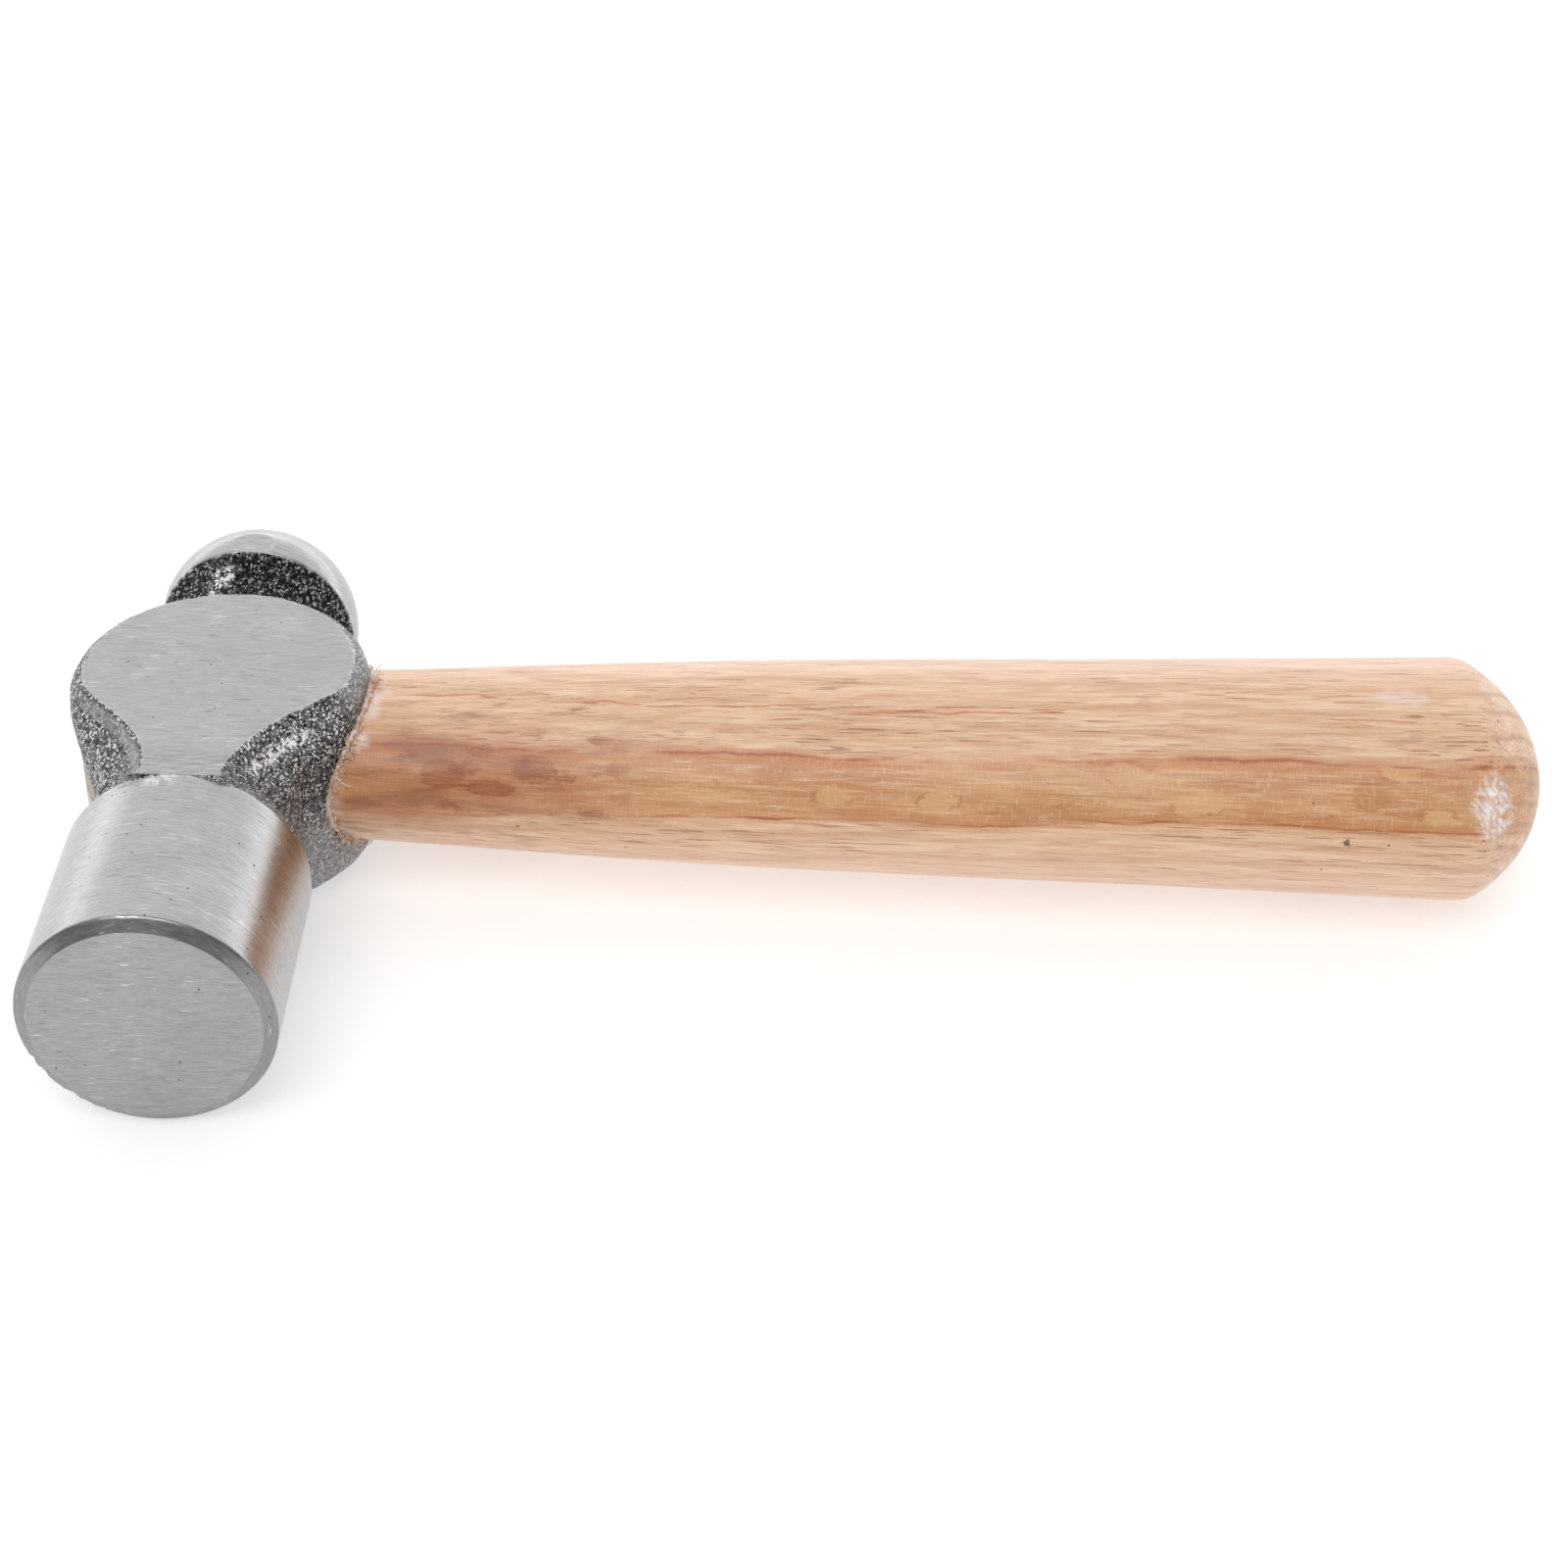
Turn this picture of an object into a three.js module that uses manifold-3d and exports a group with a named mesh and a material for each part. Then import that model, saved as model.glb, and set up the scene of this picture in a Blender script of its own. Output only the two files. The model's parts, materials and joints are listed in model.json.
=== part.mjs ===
// Stubby ball peen hammer, lying on its side. Millimetres, +Z up.
//
// The handle points along +X, the striking face looks along -Y, the ball is at the +Y end, and the two
// ground cheeks of the head look up and down. Every shape is drawn around the middle of the eye. The
// group at the end moves that point, so that the hammer lies on z = 0 with the origin under the middle
// of its box.

import * as THREE from 'three';
import { mergeVertices } from 'three/addons/utils/BufferGeometryUtils.js';
import Module from 'manifold-3d';

const wasm = await Module();
wasm.setup();

// ---------------------------------------------------------------- driving dimensions

// Clearance between touching pieces, and how far a cutter runs past what it cuts.
const GAP = 0.3;
const OVERRUN = 5;

// Head: turned poll and ball, placed along Y.
const FACE_Y = -51.7;
const POLL_RADIUS = 14;
const CHAMFER_LENGTH = 0.9;
const CHAMFER_WIDTH = 1.5;
const SHOULDER_Y = -25.4;
const BALL_Y = 28.4;
const BALL_RADIUS = 12.5;
const BALL_HEIGHT = 12.8;
const BALL_FULLNESS = 1.86;
const BALL_SEAM_Y = 26.2;

// Boss round the eye: a thick disc with rounded rims, lying flat.
const BOSS_X = 0.4;
const BOSS_RADIUS = 17.8;
const BOSS_HALF_HEIGHT = 13.1;
const BOSS_SQUARENESS = 8;

// Ground cheeks: flat, then a hollow ramp that climbs to the poll's shoulder in an arc.
const CHEEK_Z = 12.2;
const RAMP_START_Y = -16;
const RAMP_TOP_Z = 14.15;
const RAMP_RUN = RAMP_START_Y - SHOULDER_Y;
const RAMP_RISE = RAMP_TOP_Z - CHEEK_Z;
const RAMP_RADIUS = (RAMP_RUN ** 2 + RAMP_RISE ** 2) / (2 * RAMP_RISE);
const CHEEK_END_Y = 21;

// Neck between boss and poll: half-widths at its waist, and how fast they flare from there. The corner
// facets are placed by the half-width of the ground cheek that they leave between them.
const NECK_WAIST_Y = -22.5;
const NECK_SIDE = 11.3;
const NECK_SIDE_FLARE = 0.004;
const NECK_TOP = 13.9;
const NECK_CHEEK = 4.7;
const NECK_CHEEK_FLARE_ABOVE = 0.0375;
const NECK_CHEEK_FLARE_BELOW = 0.0566;
const NECK_CHEEK_FLARE_TO_POLL = 0.06;

// Neck between boss and ball: eight-sided at its waist, round where it meets the ball.
const BALL_NECK_Y = 20.5;
const BALL_NECK_SIDE = 9.2;
const BALL_NECK_FLARE_TO_BOSS = 0.035;
const BALL_NECK_FLARE_LENGTH = 8;

// How crisp the edges between facets are, and how tight the fillets are.
const EDGE_CRISPNESS = 36;
const FILLET_TIGHTNESS = 18;

// Keeps a division by the sine or cosine of an angle finite, and the number of times that the search
// for the boss's surface halves its range.
const TINY = 1e-9;
const HALVINGS = 40;

// Eye: an oval hole through the boss along X, narrowest in the middle.
const EYE_WAIST = 10.9;
const EYE_FLARE_TO_HANDLE = 1.3;
const EYE_FLARE_TO_WEDGES = 0.8;
const EYE_REACH = 18;
const OVAL = 0.81;
const HANDLE_Z = -0.25;

// Handle: half-widths along Y at stations along X, then a domed butt.
const GRIP = [
  [16, 11.6],
  [60, 14.3],
  [110, 15.8],
  [149.8, 17.05],
];
const BUTT_TIP_X = 159.1;
const TENON_END_RADIUS = 17.1;

// Wedges, driven in from the end of the tenon.
const WOOD_WEDGE_LENGTH = 21;
const WOOD_WEDGE_THICK = 3.2;
const WOOD_WEDGE_THIN = 0.9;
const KERF_LENGTH = 25;
const STEEL_WEDGE_LENGTH = 13;
const STEEL_WEDGE_THICK = 2.4;
const STEEL_WEDGE_THIN = 0.8;
const STEEL_WEDGE_WIDTH = 11;
const STEEL_WEDGE_Y = 4.6;

// Fineness of the faceted surfaces. The head's count is a multiple of 16, so that points lie on the
// corners of its eight-sided necks.
const HEAD_SEGMENTS = 64;
const HANDLE_SEGMENTS = 48;
const NECK_STEPS = 20;
const BALL_NECK_STEPS = 10;
const BALL_STEPS = 11;
const EYE_STEPS = 20;
const TENON_STEPS = 10;
const GRIP_STEPS = 22;
const BUTT_STEPS = 10;
const RAMP_STEPS = 6;

// ---------------------------------------------------------------- materials

const forgedSteel = new THREE.MeshStandardMaterial({ color: 0x8c8c8e, roughness: 0.45, metalness: 0.9 });
const lacqueredWood = new THREE.MeshStandardMaterial({ color: 0xcfa37c, roughness: 0.45, metalness: 0 });
const wedgeWood = new THREE.MeshStandardMaterial({ color: 0xd9bd95, roughness: 0.7, metalness: 0 });
const wedgeSteel = new THREE.MeshStandardMaterial({ color: 0x7a7a7c, roughness: 0.5, metalness: 0.9 });

// ---------------------------------------------------------------- helpers

function solid(geometry) {
  geometry.deleteAttribute('normal');
  geometry.deleteAttribute('uv');
  const merged = mergeVertices(geometry);
  const vertProperties = new Float32Array(merged.attributes.position.array);
  const triVerts = new Uint32Array(merged.index.array);
  return new wasm.Manifold(new wasm.Mesh({ numProp: 3, vertProperties, triVerts }));
}

function piece(name, manifold, material) {
  const { vertProperties, triVerts } = manifold.getMesh();
  const geometry = new THREE.BufferGeometry();
  geometry.setAttribute('position', new THREE.BufferAttribute(new Float32Array(vertProperties), 3));
  geometry.setIndex(new THREE.BufferAttribute(new Uint32Array(triVerts), 1));
  geometry.computeVertexNormals();
  const mesh = new THREE.Mesh(geometry, material);
  mesh.name = name;
  return mesh;
}

// Evenly spaced values from first to last, with both ends.
function steps(first, last, count) {
  return Array.from({ length: count + 1 }, (_, i) => first + ((last - first) * i) / count);
}

// The smallest and largest of some radii, with the corner between them rounded off.
function roundedMin(radii, crispness) {
  const sum = radii.reduce((total, r) => total + r ** -crispness, 0);
  return sum ** (-1 / crispness);
}

function filletedMax(radii, tightness) {
  const sum = radii.reduce((total, r) => total + r ** tightness, 0);
  return sum ** (1 / tightness);
}

// A turned body whose stations each have their own section: radius as a function of the angle
// round the Y axis, measured from +X towards +Z.
function shapedTurning(stations, segments) {
  const profile = stations.map(({ y, onAxis }) => new THREE.Vector2(onAxis ? 0 : 1, y));
  const geometry = new THREE.LatheGeometry(profile, segments);
  const position = geometry.attributes.position;
  for (let i = 0; i < position.count; i += 1) {
    const station = stations[i % stations.length];
    if (!station.onAxis) {
      const angle = Math.atan2(position.getZ(i), position.getX(i));
      const radius = station.radius(angle);
      position.setX(i, radius * Math.cos(angle));
      position.setZ(i, radius * Math.sin(angle));
    }
  }
  return geometry;
}

// An oval turning along X: its profile holds half-widths along Y, and OVAL times as much along Z.
function ovalTurning(profile, segments) {
  const geometry = new THREE.LatheGeometry(profile, segments);
  geometry.rotateZ(-Math.PI / 2);
  geometry.scale(1, 1, OVAL);
  geometry.translate(0, 0, HANDLE_Z);
  return geometry;
}

// ---------------------------------------------------------------- head

const CORNER_TO_CORNER = Math.SQRT2;

// Height of the ground cheek above the middle of the eye.
function cheekHeight(y) {
  const climbed = THREE.MathUtils.clamp(RAMP_START_Y - y, 0, RAMP_RUN);
  return CHEEK_Z + RAMP_RADIUS - Math.sqrt(RAMP_RADIUS ** 2 - climbed ** 2);
}

// Radius of the boss at a height y along the head's axis. The boss is a rounded disc, in which
// (distance from its own Z axis / radius) ^ n + (height / half height) ^ n = 1.
function bossRadius(y, angle) {
  if (Math.abs(y) >= BOSS_RADIUS) {
    return 0;
  }
  const inside = (r) => {
    const across = Math.hypot(r * Math.cos(angle) - BOSS_X, y) / BOSS_RADIUS;
    const up = Math.abs(r * Math.sin(angle)) / BOSS_HALF_HEIGHT;
    return across ** BOSS_SQUARENESS + up ** BOSS_SQUARENESS < 1;
  };
  let low = 0;
  let high = BOSS_RADIUS + BOSS_HALF_HEIGHT;
  for (let i = 0; i < HALVINGS; i += 1) {
    const middle = (low + high) / 2;
    if (inside(middle)) {
      low = middle;
    } else {
      high = middle;
    }
  }
  return low;
}

function neckRadius(y, angle) {
  const cos = Math.abs(Math.cos(angle));
  const sin = Math.abs(Math.sin(angle));
  const fromWaist = (y - NECK_WAIST_Y) ** 2;
  const side = NECK_SIDE + NECK_SIDE_FLARE * fromWaist;
  const flareToBoss = angle < 0 ? NECK_CHEEK_FLARE_BELOW : NECK_CHEEK_FLARE_ABOVE;
  const cheekFlare = y < NECK_WAIST_Y ? NECK_CHEEK_FLARE_TO_POLL : flareToBoss;
  const corner = NECK_CHEEK + cheekFlare * fromWaist + cheekHeight(y);
  const core = roundedMin([side / (cos + TINY), NECK_TOP / (sin + TINY)], EDGE_CRISPNESS);
  const body = filletedMax([core, bossRadius(y, angle)], FILLET_TIGHTNESS);
  return roundedMin([body, corner / (cos + sin)], EDGE_CRISPNESS);
}

function ballNeckRadius(y, angle) {
  const cos = Math.abs(Math.cos(angle));
  const sin = Math.abs(Math.sin(angle));
  const seamRadius = ballOutline(ballLatitude(BALL_SEAM_Y)).radius;
  const towardsBall = Math.max(0, (y - BALL_NECK_Y) / (BALL_SEAM_Y - BALL_NECK_Y));
  const towardsBoss = THREE.MathUtils.clamp(BALL_NECK_Y - y, 0, BALL_NECK_FLARE_LENGTH);
  const flare = (seamRadius - BALL_NECK_SIDE) * towardsBall ** 2;
  const side = BALL_NECK_SIDE + flare + BALL_NECK_FLARE_TO_BOSS * towardsBoss ** 2;
  const facets = [side / (cos + TINY), side / (sin + TINY), (CORNER_TO_CORNER * side) / (cos + sin)];
  const eightSided = roundedMin(facets, EDGE_CRISPNESS);
  const core = THREE.MathUtils.lerp(eightSided, side, towardsBall ** 2);
  return filletedMax([core, bossRadius(y, angle)], FILLET_TIGHTNESS);
}

// A point on the ball's outline: distance from its axis and place along it, at an angle above the
// ball's widest circle.
function ballOutline(latitude) {
  const stretch = 2 / BALL_FULLNESS;
  const rise = Math.sign(latitude) * Math.abs(Math.sin(latitude)) ** stretch;
  return { y: BALL_Y + BALL_HEIGHT * rise, radius: BALL_RADIUS * Math.cos(latitude) ** stretch };
}

function ballLatitude(y) {
  const rise = (y - BALL_Y) / BALL_HEIGHT;
  return Math.sign(rise) * Math.asin(Math.abs(rise) ** (BALL_FULLNESS / 2));
}

function headStations() {
  const round = (radius) => () => radius;
  const stations = [
    { y: FACE_Y, onAxis: true },
    { y: FACE_Y, radius: round(POLL_RADIUS - CHAMFER_WIDTH) },
    { y: FACE_Y + CHAMFER_LENGTH, radius: round(POLL_RADIUS) },
    { y: SHOULDER_Y, radius: round(POLL_RADIUS) },
  ];
  steps(SHOULDER_Y, 0, NECK_STEPS).forEach((y) => {
    stations.push({ y, radius: (angle) => neckRadius(y, angle) });
  });
  steps(0, BOSS_RADIUS, BALL_NECK_STEPS).slice(1).forEach((y) => {
    stations.push({ y, radius: (angle) => ballNeckRadius(y, angle) });
  });
  steps(BOSS_RADIUS, BALL_SEAM_Y, BALL_NECK_STEPS / 2).slice(1).forEach((y) => {
    stations.push({ y, radius: (angle) => ballNeckRadius(y, angle) });
  });
  steps(ballLatitude(BALL_SEAM_Y), Math.PI / 2, BALL_STEPS).slice(1, -1).forEach((latitude) => {
    const { y, radius } = ballOutline(latitude);
    stations.push({ y, radius: round(radius) });
  });
  stations.push({ y: BALL_Y + BALL_HEIGHT, onAxis: true });
  return stations;
}

// Half-width along Y of the eye, at a place along the handle.
function eyeHalfWidth(x) {
  const flare = x > 0 ? EYE_FLARE_TO_HANDLE : EYE_FLARE_TO_WEDGES;
  return EYE_WAIST + flare * (x / EYE_REACH) ** 2;
}

function eyeCutter() {
  const reach = BOSS_RADIUS + OVERRUN;
  const wall = steps(-reach, reach, EYE_STEPS).map((x) => new THREE.Vector2(eyeHalfWidth(x), x));
  return ovalTurning([new THREE.Vector2(0, -reach), ...wall, new THREE.Vector2(0, reach)], HANDLE_SEGMENTS);
}

// What the grinding wheel takes off one cheek: all that is above a flat with a hollow ramp at its
// poll end. The outline lies in the Y-Z plane and is drawn out along X.
function cheekCutter() {
  const rampAngle = Math.asin(RAMP_RUN / RAMP_RADIUS);
  const top = BOSS_HALF_HEIGHT + OVERRUN;
  const outline = new THREE.Shape();
  outline.moveTo(CHEEK_END_Y, CHEEK_Z);
  outline.lineTo(CHEEK_END_Y, top);
  outline.lineTo(SHOULDER_Y, top);
  const start = -Math.PI / 2 - rampAngle;
  outline.absarc(RAMP_START_Y, CHEEK_Z + RAMP_RADIUS, RAMP_RADIUS, start, -Math.PI / 2, false);
  const reach = BOSS_RADIUS + OVERRUN;
  const extrusion = { depth: 2 * reach, bevelEnabled: false, curveSegments: RAMP_STEPS };
  const geometry = new THREE.ExtrudeGeometry(outline, extrusion);
  // Outline x, y and depth become Y, Z and X.
  geometry.applyMatrix4(new THREE.Matrix4().makeBasis(
    new THREE.Vector3(0, 1, 0),
    new THREE.Vector3(0, 0, 1),
    new THREE.Vector3(1, 0, 0),
  ));
  geometry.translate(-reach, 0, 0);
  return geometry;
}

function makeHead() {
  const forging = solid(shapedTurning(headStations(), HEAD_SEGMENTS));
  const lowerCutter = cheekCutter();
  lowerCutter.applyMatrix4(new THREE.Matrix4().makeRotationY(Math.PI));
  const ground = forging.subtract(solid(cheekCutter())).subtract(solid(lowerCutter));
  return ground.subtract(solid(eyeCutter()));
}

// ---------------------------------------------------------------- handle

function handleProfile() {
  const grip = new THREE.SplineCurve(GRIP.map(([x, halfWidth]) => new THREE.Vector2(halfWidth, x)));
  const [mouthX] = GRIP[0];
  const [rimX, rimHalfWidth] = GRIP[GRIP.length - 1];
  const endX = -TENON_END_RADIUS - OVERRUN;
  const tenon = steps(endX, mouthX, TENON_STEPS).map((x) => new THREE.Vector2(eyeHalfWidth(x) - GAP, x));
  const capDepth = BUTT_TIP_X - rimX;
  const capRadius = (capDepth ** 2 + rimHalfWidth ** 2) / (2 * capDepth);
  const capAngle = Math.asin(rimHalfWidth / capRadius);
  const cap = steps(capAngle, 0, BUTT_STEPS).map((angle) => {
    const x = BUTT_TIP_X - capRadius * (1 - Math.cos(angle));
    return new THREE.Vector2(capRadius * Math.sin(angle), x);
  });
  return [
    new THREE.Vector2(0, endX),
    ...tenon.slice(0, -1),
    ...grip.getSpacedPoints(GRIP_STEPS).slice(0, -1),
    ...cap,
  ];
}

// What is cut off the end of the tenon and its wedges, so that they follow the round of the boss.
function tenonEndCutter() {
  const depth = 2 * (EYE_WAIST + OVERRUN);
  const block = new THREE.BoxGeometry(TENON_END_RADIUS + 2 * OVERRUN, depth, depth);
  block.translate(-TENON_END_RADIUS, 0, 0);
  const round = new THREE.CylinderGeometry(TENON_END_RADIUS, TENON_END_RADIUS, 2 * depth, HEAD_SEGMENTS);
  round.rotateX(Math.PI / 2);
  round.translate(BOSS_X, 0, 0);
  return solid(block).subtract(solid(round));
}

// A wedge with its thick end outwards at the end of the tenon. Thickness lies along Z.
function wedge(length, thick, thin, width, grow) {
  const outline = new THREE.Shape();
  const outer = -TENON_END_RADIUS - OVERRUN;
  const slope = (thick - thin) / length;
  const tip = -TENON_END_RADIUS + length + grow;
  const half = (x) => (thick - slope * (x + TENON_END_RADIUS)) / 2 + grow;
  outline.moveTo(outer, -half(outer));
  outline.lineTo(tip, -half(tip));
  outline.lineTo(tip, half(tip));
  outline.lineTo(outer, half(outer));
  const depth = width + 2 * grow;
  const geometry = new THREE.ExtrudeGeometry(outline, { depth, bevelEnabled: false });
  // Outline x, y and depth become X, Z and -Y.
  geometry.rotateX(Math.PI / 2);
  geometry.translate(0, depth / 2, 0);
  return geometry;
}

function steelWedge(y, grow) {
  const geometry = wedge(STEEL_WEDGE_LENGTH, STEEL_WEDGE_THICK, STEEL_WEDGE_THIN, STEEL_WEDGE_WIDTH, grow);
  geometry.rotateX(Math.PI / 2);
  geometry.translate(0, y, HANDLE_Z);
  return solid(geometry);
}

function woodWedge(width, grow) {
  const geometry = wedge(WOOD_WEDGE_LENGTH, WOOD_WEDGE_THICK, WOOD_WEDGE_THIN, width, grow);
  geometry.translate(0, 0, HANDLE_Z);
  return solid(geometry);
}

function sawKerf(width) {
  const geometry = new THREE.BoxGeometry(KERF_LENGTH, width, WOOD_WEDGE_THIN);
  geometry.translate(-TENON_END_RADIUS + KERF_LENGTH / 2, 0, HANDLE_Z);
  return solid(geometry);
}

const fullWidth = 2 * (EYE_WAIST + OVERRUN);
const endCutter = tenonEndCutter();
const wholeHandle = solid(ovalTurning(handleProfile(), HANDLE_SEGMENTS));
const steelSlots = steelWedge(-STEEL_WEDGE_Y, GAP).add(steelWedge(STEEL_WEDGE_Y, GAP));

function makeHandle() {
  const slotted = wholeHandle.subtract(woodWedge(fullWidth, GAP)).subtract(sawKerf(fullWidth));
  return slotted.subtract(steelSlots).subtract(endCutter);
}

function makeWoodenWedge() {
  return woodWedge(fullWidth, 0).intersect(wholeHandle).subtract(steelSlots).subtract(endCutter);
}

function makeSteelWedge(y) {
  return steelWedge(y, 0).subtract(endCutter);
}

// ---------------------------------------------------------------- hammer

const hammer = new THREE.Group();
hammer.add(piece('head', makeHead(), forgedSteel));
hammer.add(piece('handle', makeHandle(), lacqueredWood));
hammer.add(piece('wooden_wedge', makeWoodenWedge(), wedgeWood));
[-STEEL_WEDGE_Y, STEEL_WEDGE_Y].forEach((y, i) => {
  hammer.add(piece(`steel_wedge_${i + 1}`, makeSteelWedge(y), wedgeSteel));
});

const box = new THREE.Box3().setFromObject(hammer, true);
const middle = box.getCenter(new THREE.Vector3());
hammer.position.set(-middle.x, -middle.y, -box.min.z);

export default hammer;
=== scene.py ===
# %% [markdown]
# # A ball peen hammer
# A ball peen hammer shapes metal. One end of its head is a flat, round striking face, and the other is a
# ball for rounding and riveting. This one is short and heavy: a forged steel head, bright where it was
# turned or ground and dark where it was left as forged, on a stubby lacquered handle.
#
# The exact solids come first, packed as a fixed frame. Everything built below sits in the same place and
# at the same size, and adds what plain solids lack: surface relief, worn edges, grain and finish.

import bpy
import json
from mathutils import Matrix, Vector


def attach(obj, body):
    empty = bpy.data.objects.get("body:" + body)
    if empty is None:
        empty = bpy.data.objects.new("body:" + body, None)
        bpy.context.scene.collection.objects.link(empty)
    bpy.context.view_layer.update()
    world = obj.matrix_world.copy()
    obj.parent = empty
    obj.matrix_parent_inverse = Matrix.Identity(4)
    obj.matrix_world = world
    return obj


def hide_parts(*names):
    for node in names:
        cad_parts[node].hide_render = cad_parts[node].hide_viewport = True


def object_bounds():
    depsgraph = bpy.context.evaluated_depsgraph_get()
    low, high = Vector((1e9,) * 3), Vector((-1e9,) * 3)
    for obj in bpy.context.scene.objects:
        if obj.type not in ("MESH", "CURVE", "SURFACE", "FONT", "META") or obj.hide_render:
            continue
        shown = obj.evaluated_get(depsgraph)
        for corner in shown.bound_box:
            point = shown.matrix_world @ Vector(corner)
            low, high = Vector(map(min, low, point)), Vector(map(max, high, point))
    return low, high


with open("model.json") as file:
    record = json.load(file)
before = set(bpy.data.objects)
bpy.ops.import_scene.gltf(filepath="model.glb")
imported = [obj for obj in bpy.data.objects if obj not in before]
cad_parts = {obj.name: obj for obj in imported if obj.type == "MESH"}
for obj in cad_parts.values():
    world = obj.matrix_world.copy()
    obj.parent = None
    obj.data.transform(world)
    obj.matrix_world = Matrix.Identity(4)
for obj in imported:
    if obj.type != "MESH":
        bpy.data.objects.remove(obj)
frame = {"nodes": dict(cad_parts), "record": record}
cad_low, cad_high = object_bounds()
print("frame from", tuple(cad_low), "to", tuple(cad_high))

# %% Libraries
import json
import math

import bmesh
import bpy
import numpy as np
from mathutils import Matrix, Vector, kdtree, noise

# %% [markdown]
# ## Where everything is
# Blender works in metres, but a hammer is easier to think about in millimetres from one natural point. The
# middle of the eye, the hole that the handle passes through, is that point: it lies halfway between the two
# flat cheeks of the head. The frame's record says where the cheeks and the striking face are. The handle
# points along X, the striking face looks along -Y, and the cheeks look up and down.

# %% The middle of the eye
MM = 0.001
mounts = {mount["name"]: np.array(mount["pos_m"]) for mount in frame["record"]["mounts"]}
EYE = (mounts["upper_cheek"] + mounts["lower_cheek"]) / 2
CHEEK_Z = (mounts["upper_cheek"][2] - EYE[2]) / MM
FACE_Y = (mounts["striking_face"][1] - EYE[1]) / MM
print("eye at", EYE, "cheeks", CHEEK_Z, "mm from it, face", FACE_Y, "mm")

# %% [markdown]
# ## Shader maths as Python
# A material is a graph of small nodes. Drawn by hand, even a simple formula takes a dozen boxes, so this
# class wraps one socket and lets the graph be written as an expression: `1 - mask` adds a Math node and
# returns its output. Colours and vectors use Mix and Vector Math nodes instead, because a Math node would
# turn a colour grey. Every other node comes from `add`.

# %% A socket that does arithmetic


class Wire:
    """One output socket of a material's graph."""

    def __init__(self, tree, socket):
        self.tree = tree
        self.socket = socket

    def add(self, kind, settings=None, sockets=None, output=0):
        """Adds a node of this kind. Its settings come first, then a value or a Wire for each socket."""
        node = self.tree.nodes.new(kind)
        for name, value in (settings or {}).items():
            if name == "stops":
                while len(node.color_ramp.elements) < len(value):
                    node.color_ramp.elements.new(1)
                for element, (position, shade) in zip(node.color_ramp.elements, value):
                    element.position = position
                    element.color = shade
            else:
                setattr(node, name, value)
        for name, value in (sockets or {}).items():
            if isinstance(value, Wire):
                self.tree.links.new(value.socket, node.inputs[name])
            else:
                node.inputs[name].default_value = value
        return Wire(self.tree, node.outputs[output])

    def maths(self, operation, *others):
        sockets = dict(enumerate((self, *others)))
        return self.add("ShaderNodeMath", {"operation": operation}, sockets)

    def __add__(self, other):
        return self.maths("ADD", other)

    __radd__ = __add__

    def __mul__(self, other):
        return self.maths("MULTIPLY", other)

    __rmul__ = __mul__

    def __sub__(self, other):
        return self.maths("SUBTRACT", other)

    def __rsub__(self, other):
        return (self * -1) + other

    def __abs__(self):
        return self.maths("ABSOLUTE")

    def vector_maths(self, operation, other):
        return self.add("ShaderNodeVectorMath", {"operation": operation}, {0: self, 1: other})

    def stretched(self, x, y, z):
        """This vector with each part multiplied, so that a pattern runs long where the number is small."""
        return self.vector_maths("MULTIPLY", (x, y, z))

    def parts(self):
        return [self.add("ShaderNodeSeparateXYZ", None, {0: self}, output) for output in range(3)]

    def fade(self, start, end):
        """0 at start, 1 at end, smooth between them."""
        sockets = {"Value": self, "From Min": start, "From Max": end}
        return self.add("ShaderNodeMapRange", {"interpolation_type": "SMOOTHSTEP"}, sockets)

    def noise(self, scale=1.0, detail=2.0, roughness=0.5, distortion=0.0):
        """Cloudy noise, about 0.5 on average, looked up at this vector."""
        sockets = {"Vector": self, "Scale": scale, "Detail": detail}
        sockets.update({"Roughness": roughness, "Distortion": distortion})
        return self.add("ShaderNodeTexNoise", None, sockets)

    def cells(self, scale, output):
        """Voronoi cells: output 0 is the distance to the cell's middle, 1 its own random colour."""
        return self.add("ShaderNodeTexVoronoi", None, {"Vector": self, "Scale": scale}, output)

    def blend(self, first, second):
        """The first colour where this mask is 0, the second where it is 1."""
        settings = {"data_type": "RGBA", "clamp_factor": True}
        return self.add("ShaderNodeMix", settings, {0: self, 6: first, 7: second}, 2)

    def attribute(self, name):
        """A value painted on the mesh, point by point."""
        return self.add("ShaderNodeAttribute", {"attribute_name": name}, None, 2)

    def bump(self, depth_mm, strength=1.0):
        """Turns this height into a normal. Depth is how far 0 to 1 stands up."""
        sockets = {"Height": self, "Distance": depth_mm * MM, "Strength": strength}
        return self.add("ShaderNodeBump", None, sockets)


def shade(red, green, blue):
    """A colour as it looks on a screen, 0 to 255, turned into the linear values that light needs."""
    linear = [(part / 255 + 0.055) / 1.055 for part in (red, green, blue)]
    return (*[part**2.4 for part in linear], 1.0)


print("a mid grey is", shade(128, 128, 128))

# %% [markdown]
# Each material starts the same way: one Principled shader, and the place of the point being shaded, in
# millimetres from the middle of the eye. A pattern looked up at that place runs through the piece like
# grain through wood, so it never stretches and has no seam.

# %% Start a material


def new_material(name):
    """Returns the material, its Principled shader and a Wire with the place in millimetres."""
    material = bpy.data.materials.new(name)
    material.use_nodes = True
    tree = material.node_tree
    shader = tree.nodes["Principled BSDF"]
    coordinates = tree.nodes.new("ShaderNodeTexCoord")
    metres = Wire(tree, coordinates.outputs["Object"])
    from_eye = metres.vector_maths("SUBTRACT", tuple(EYE))
    return material, shader, from_eye.vector_maths("MULTIPLY", (1 / MM, 1 / MM, 1 / MM))


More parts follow.
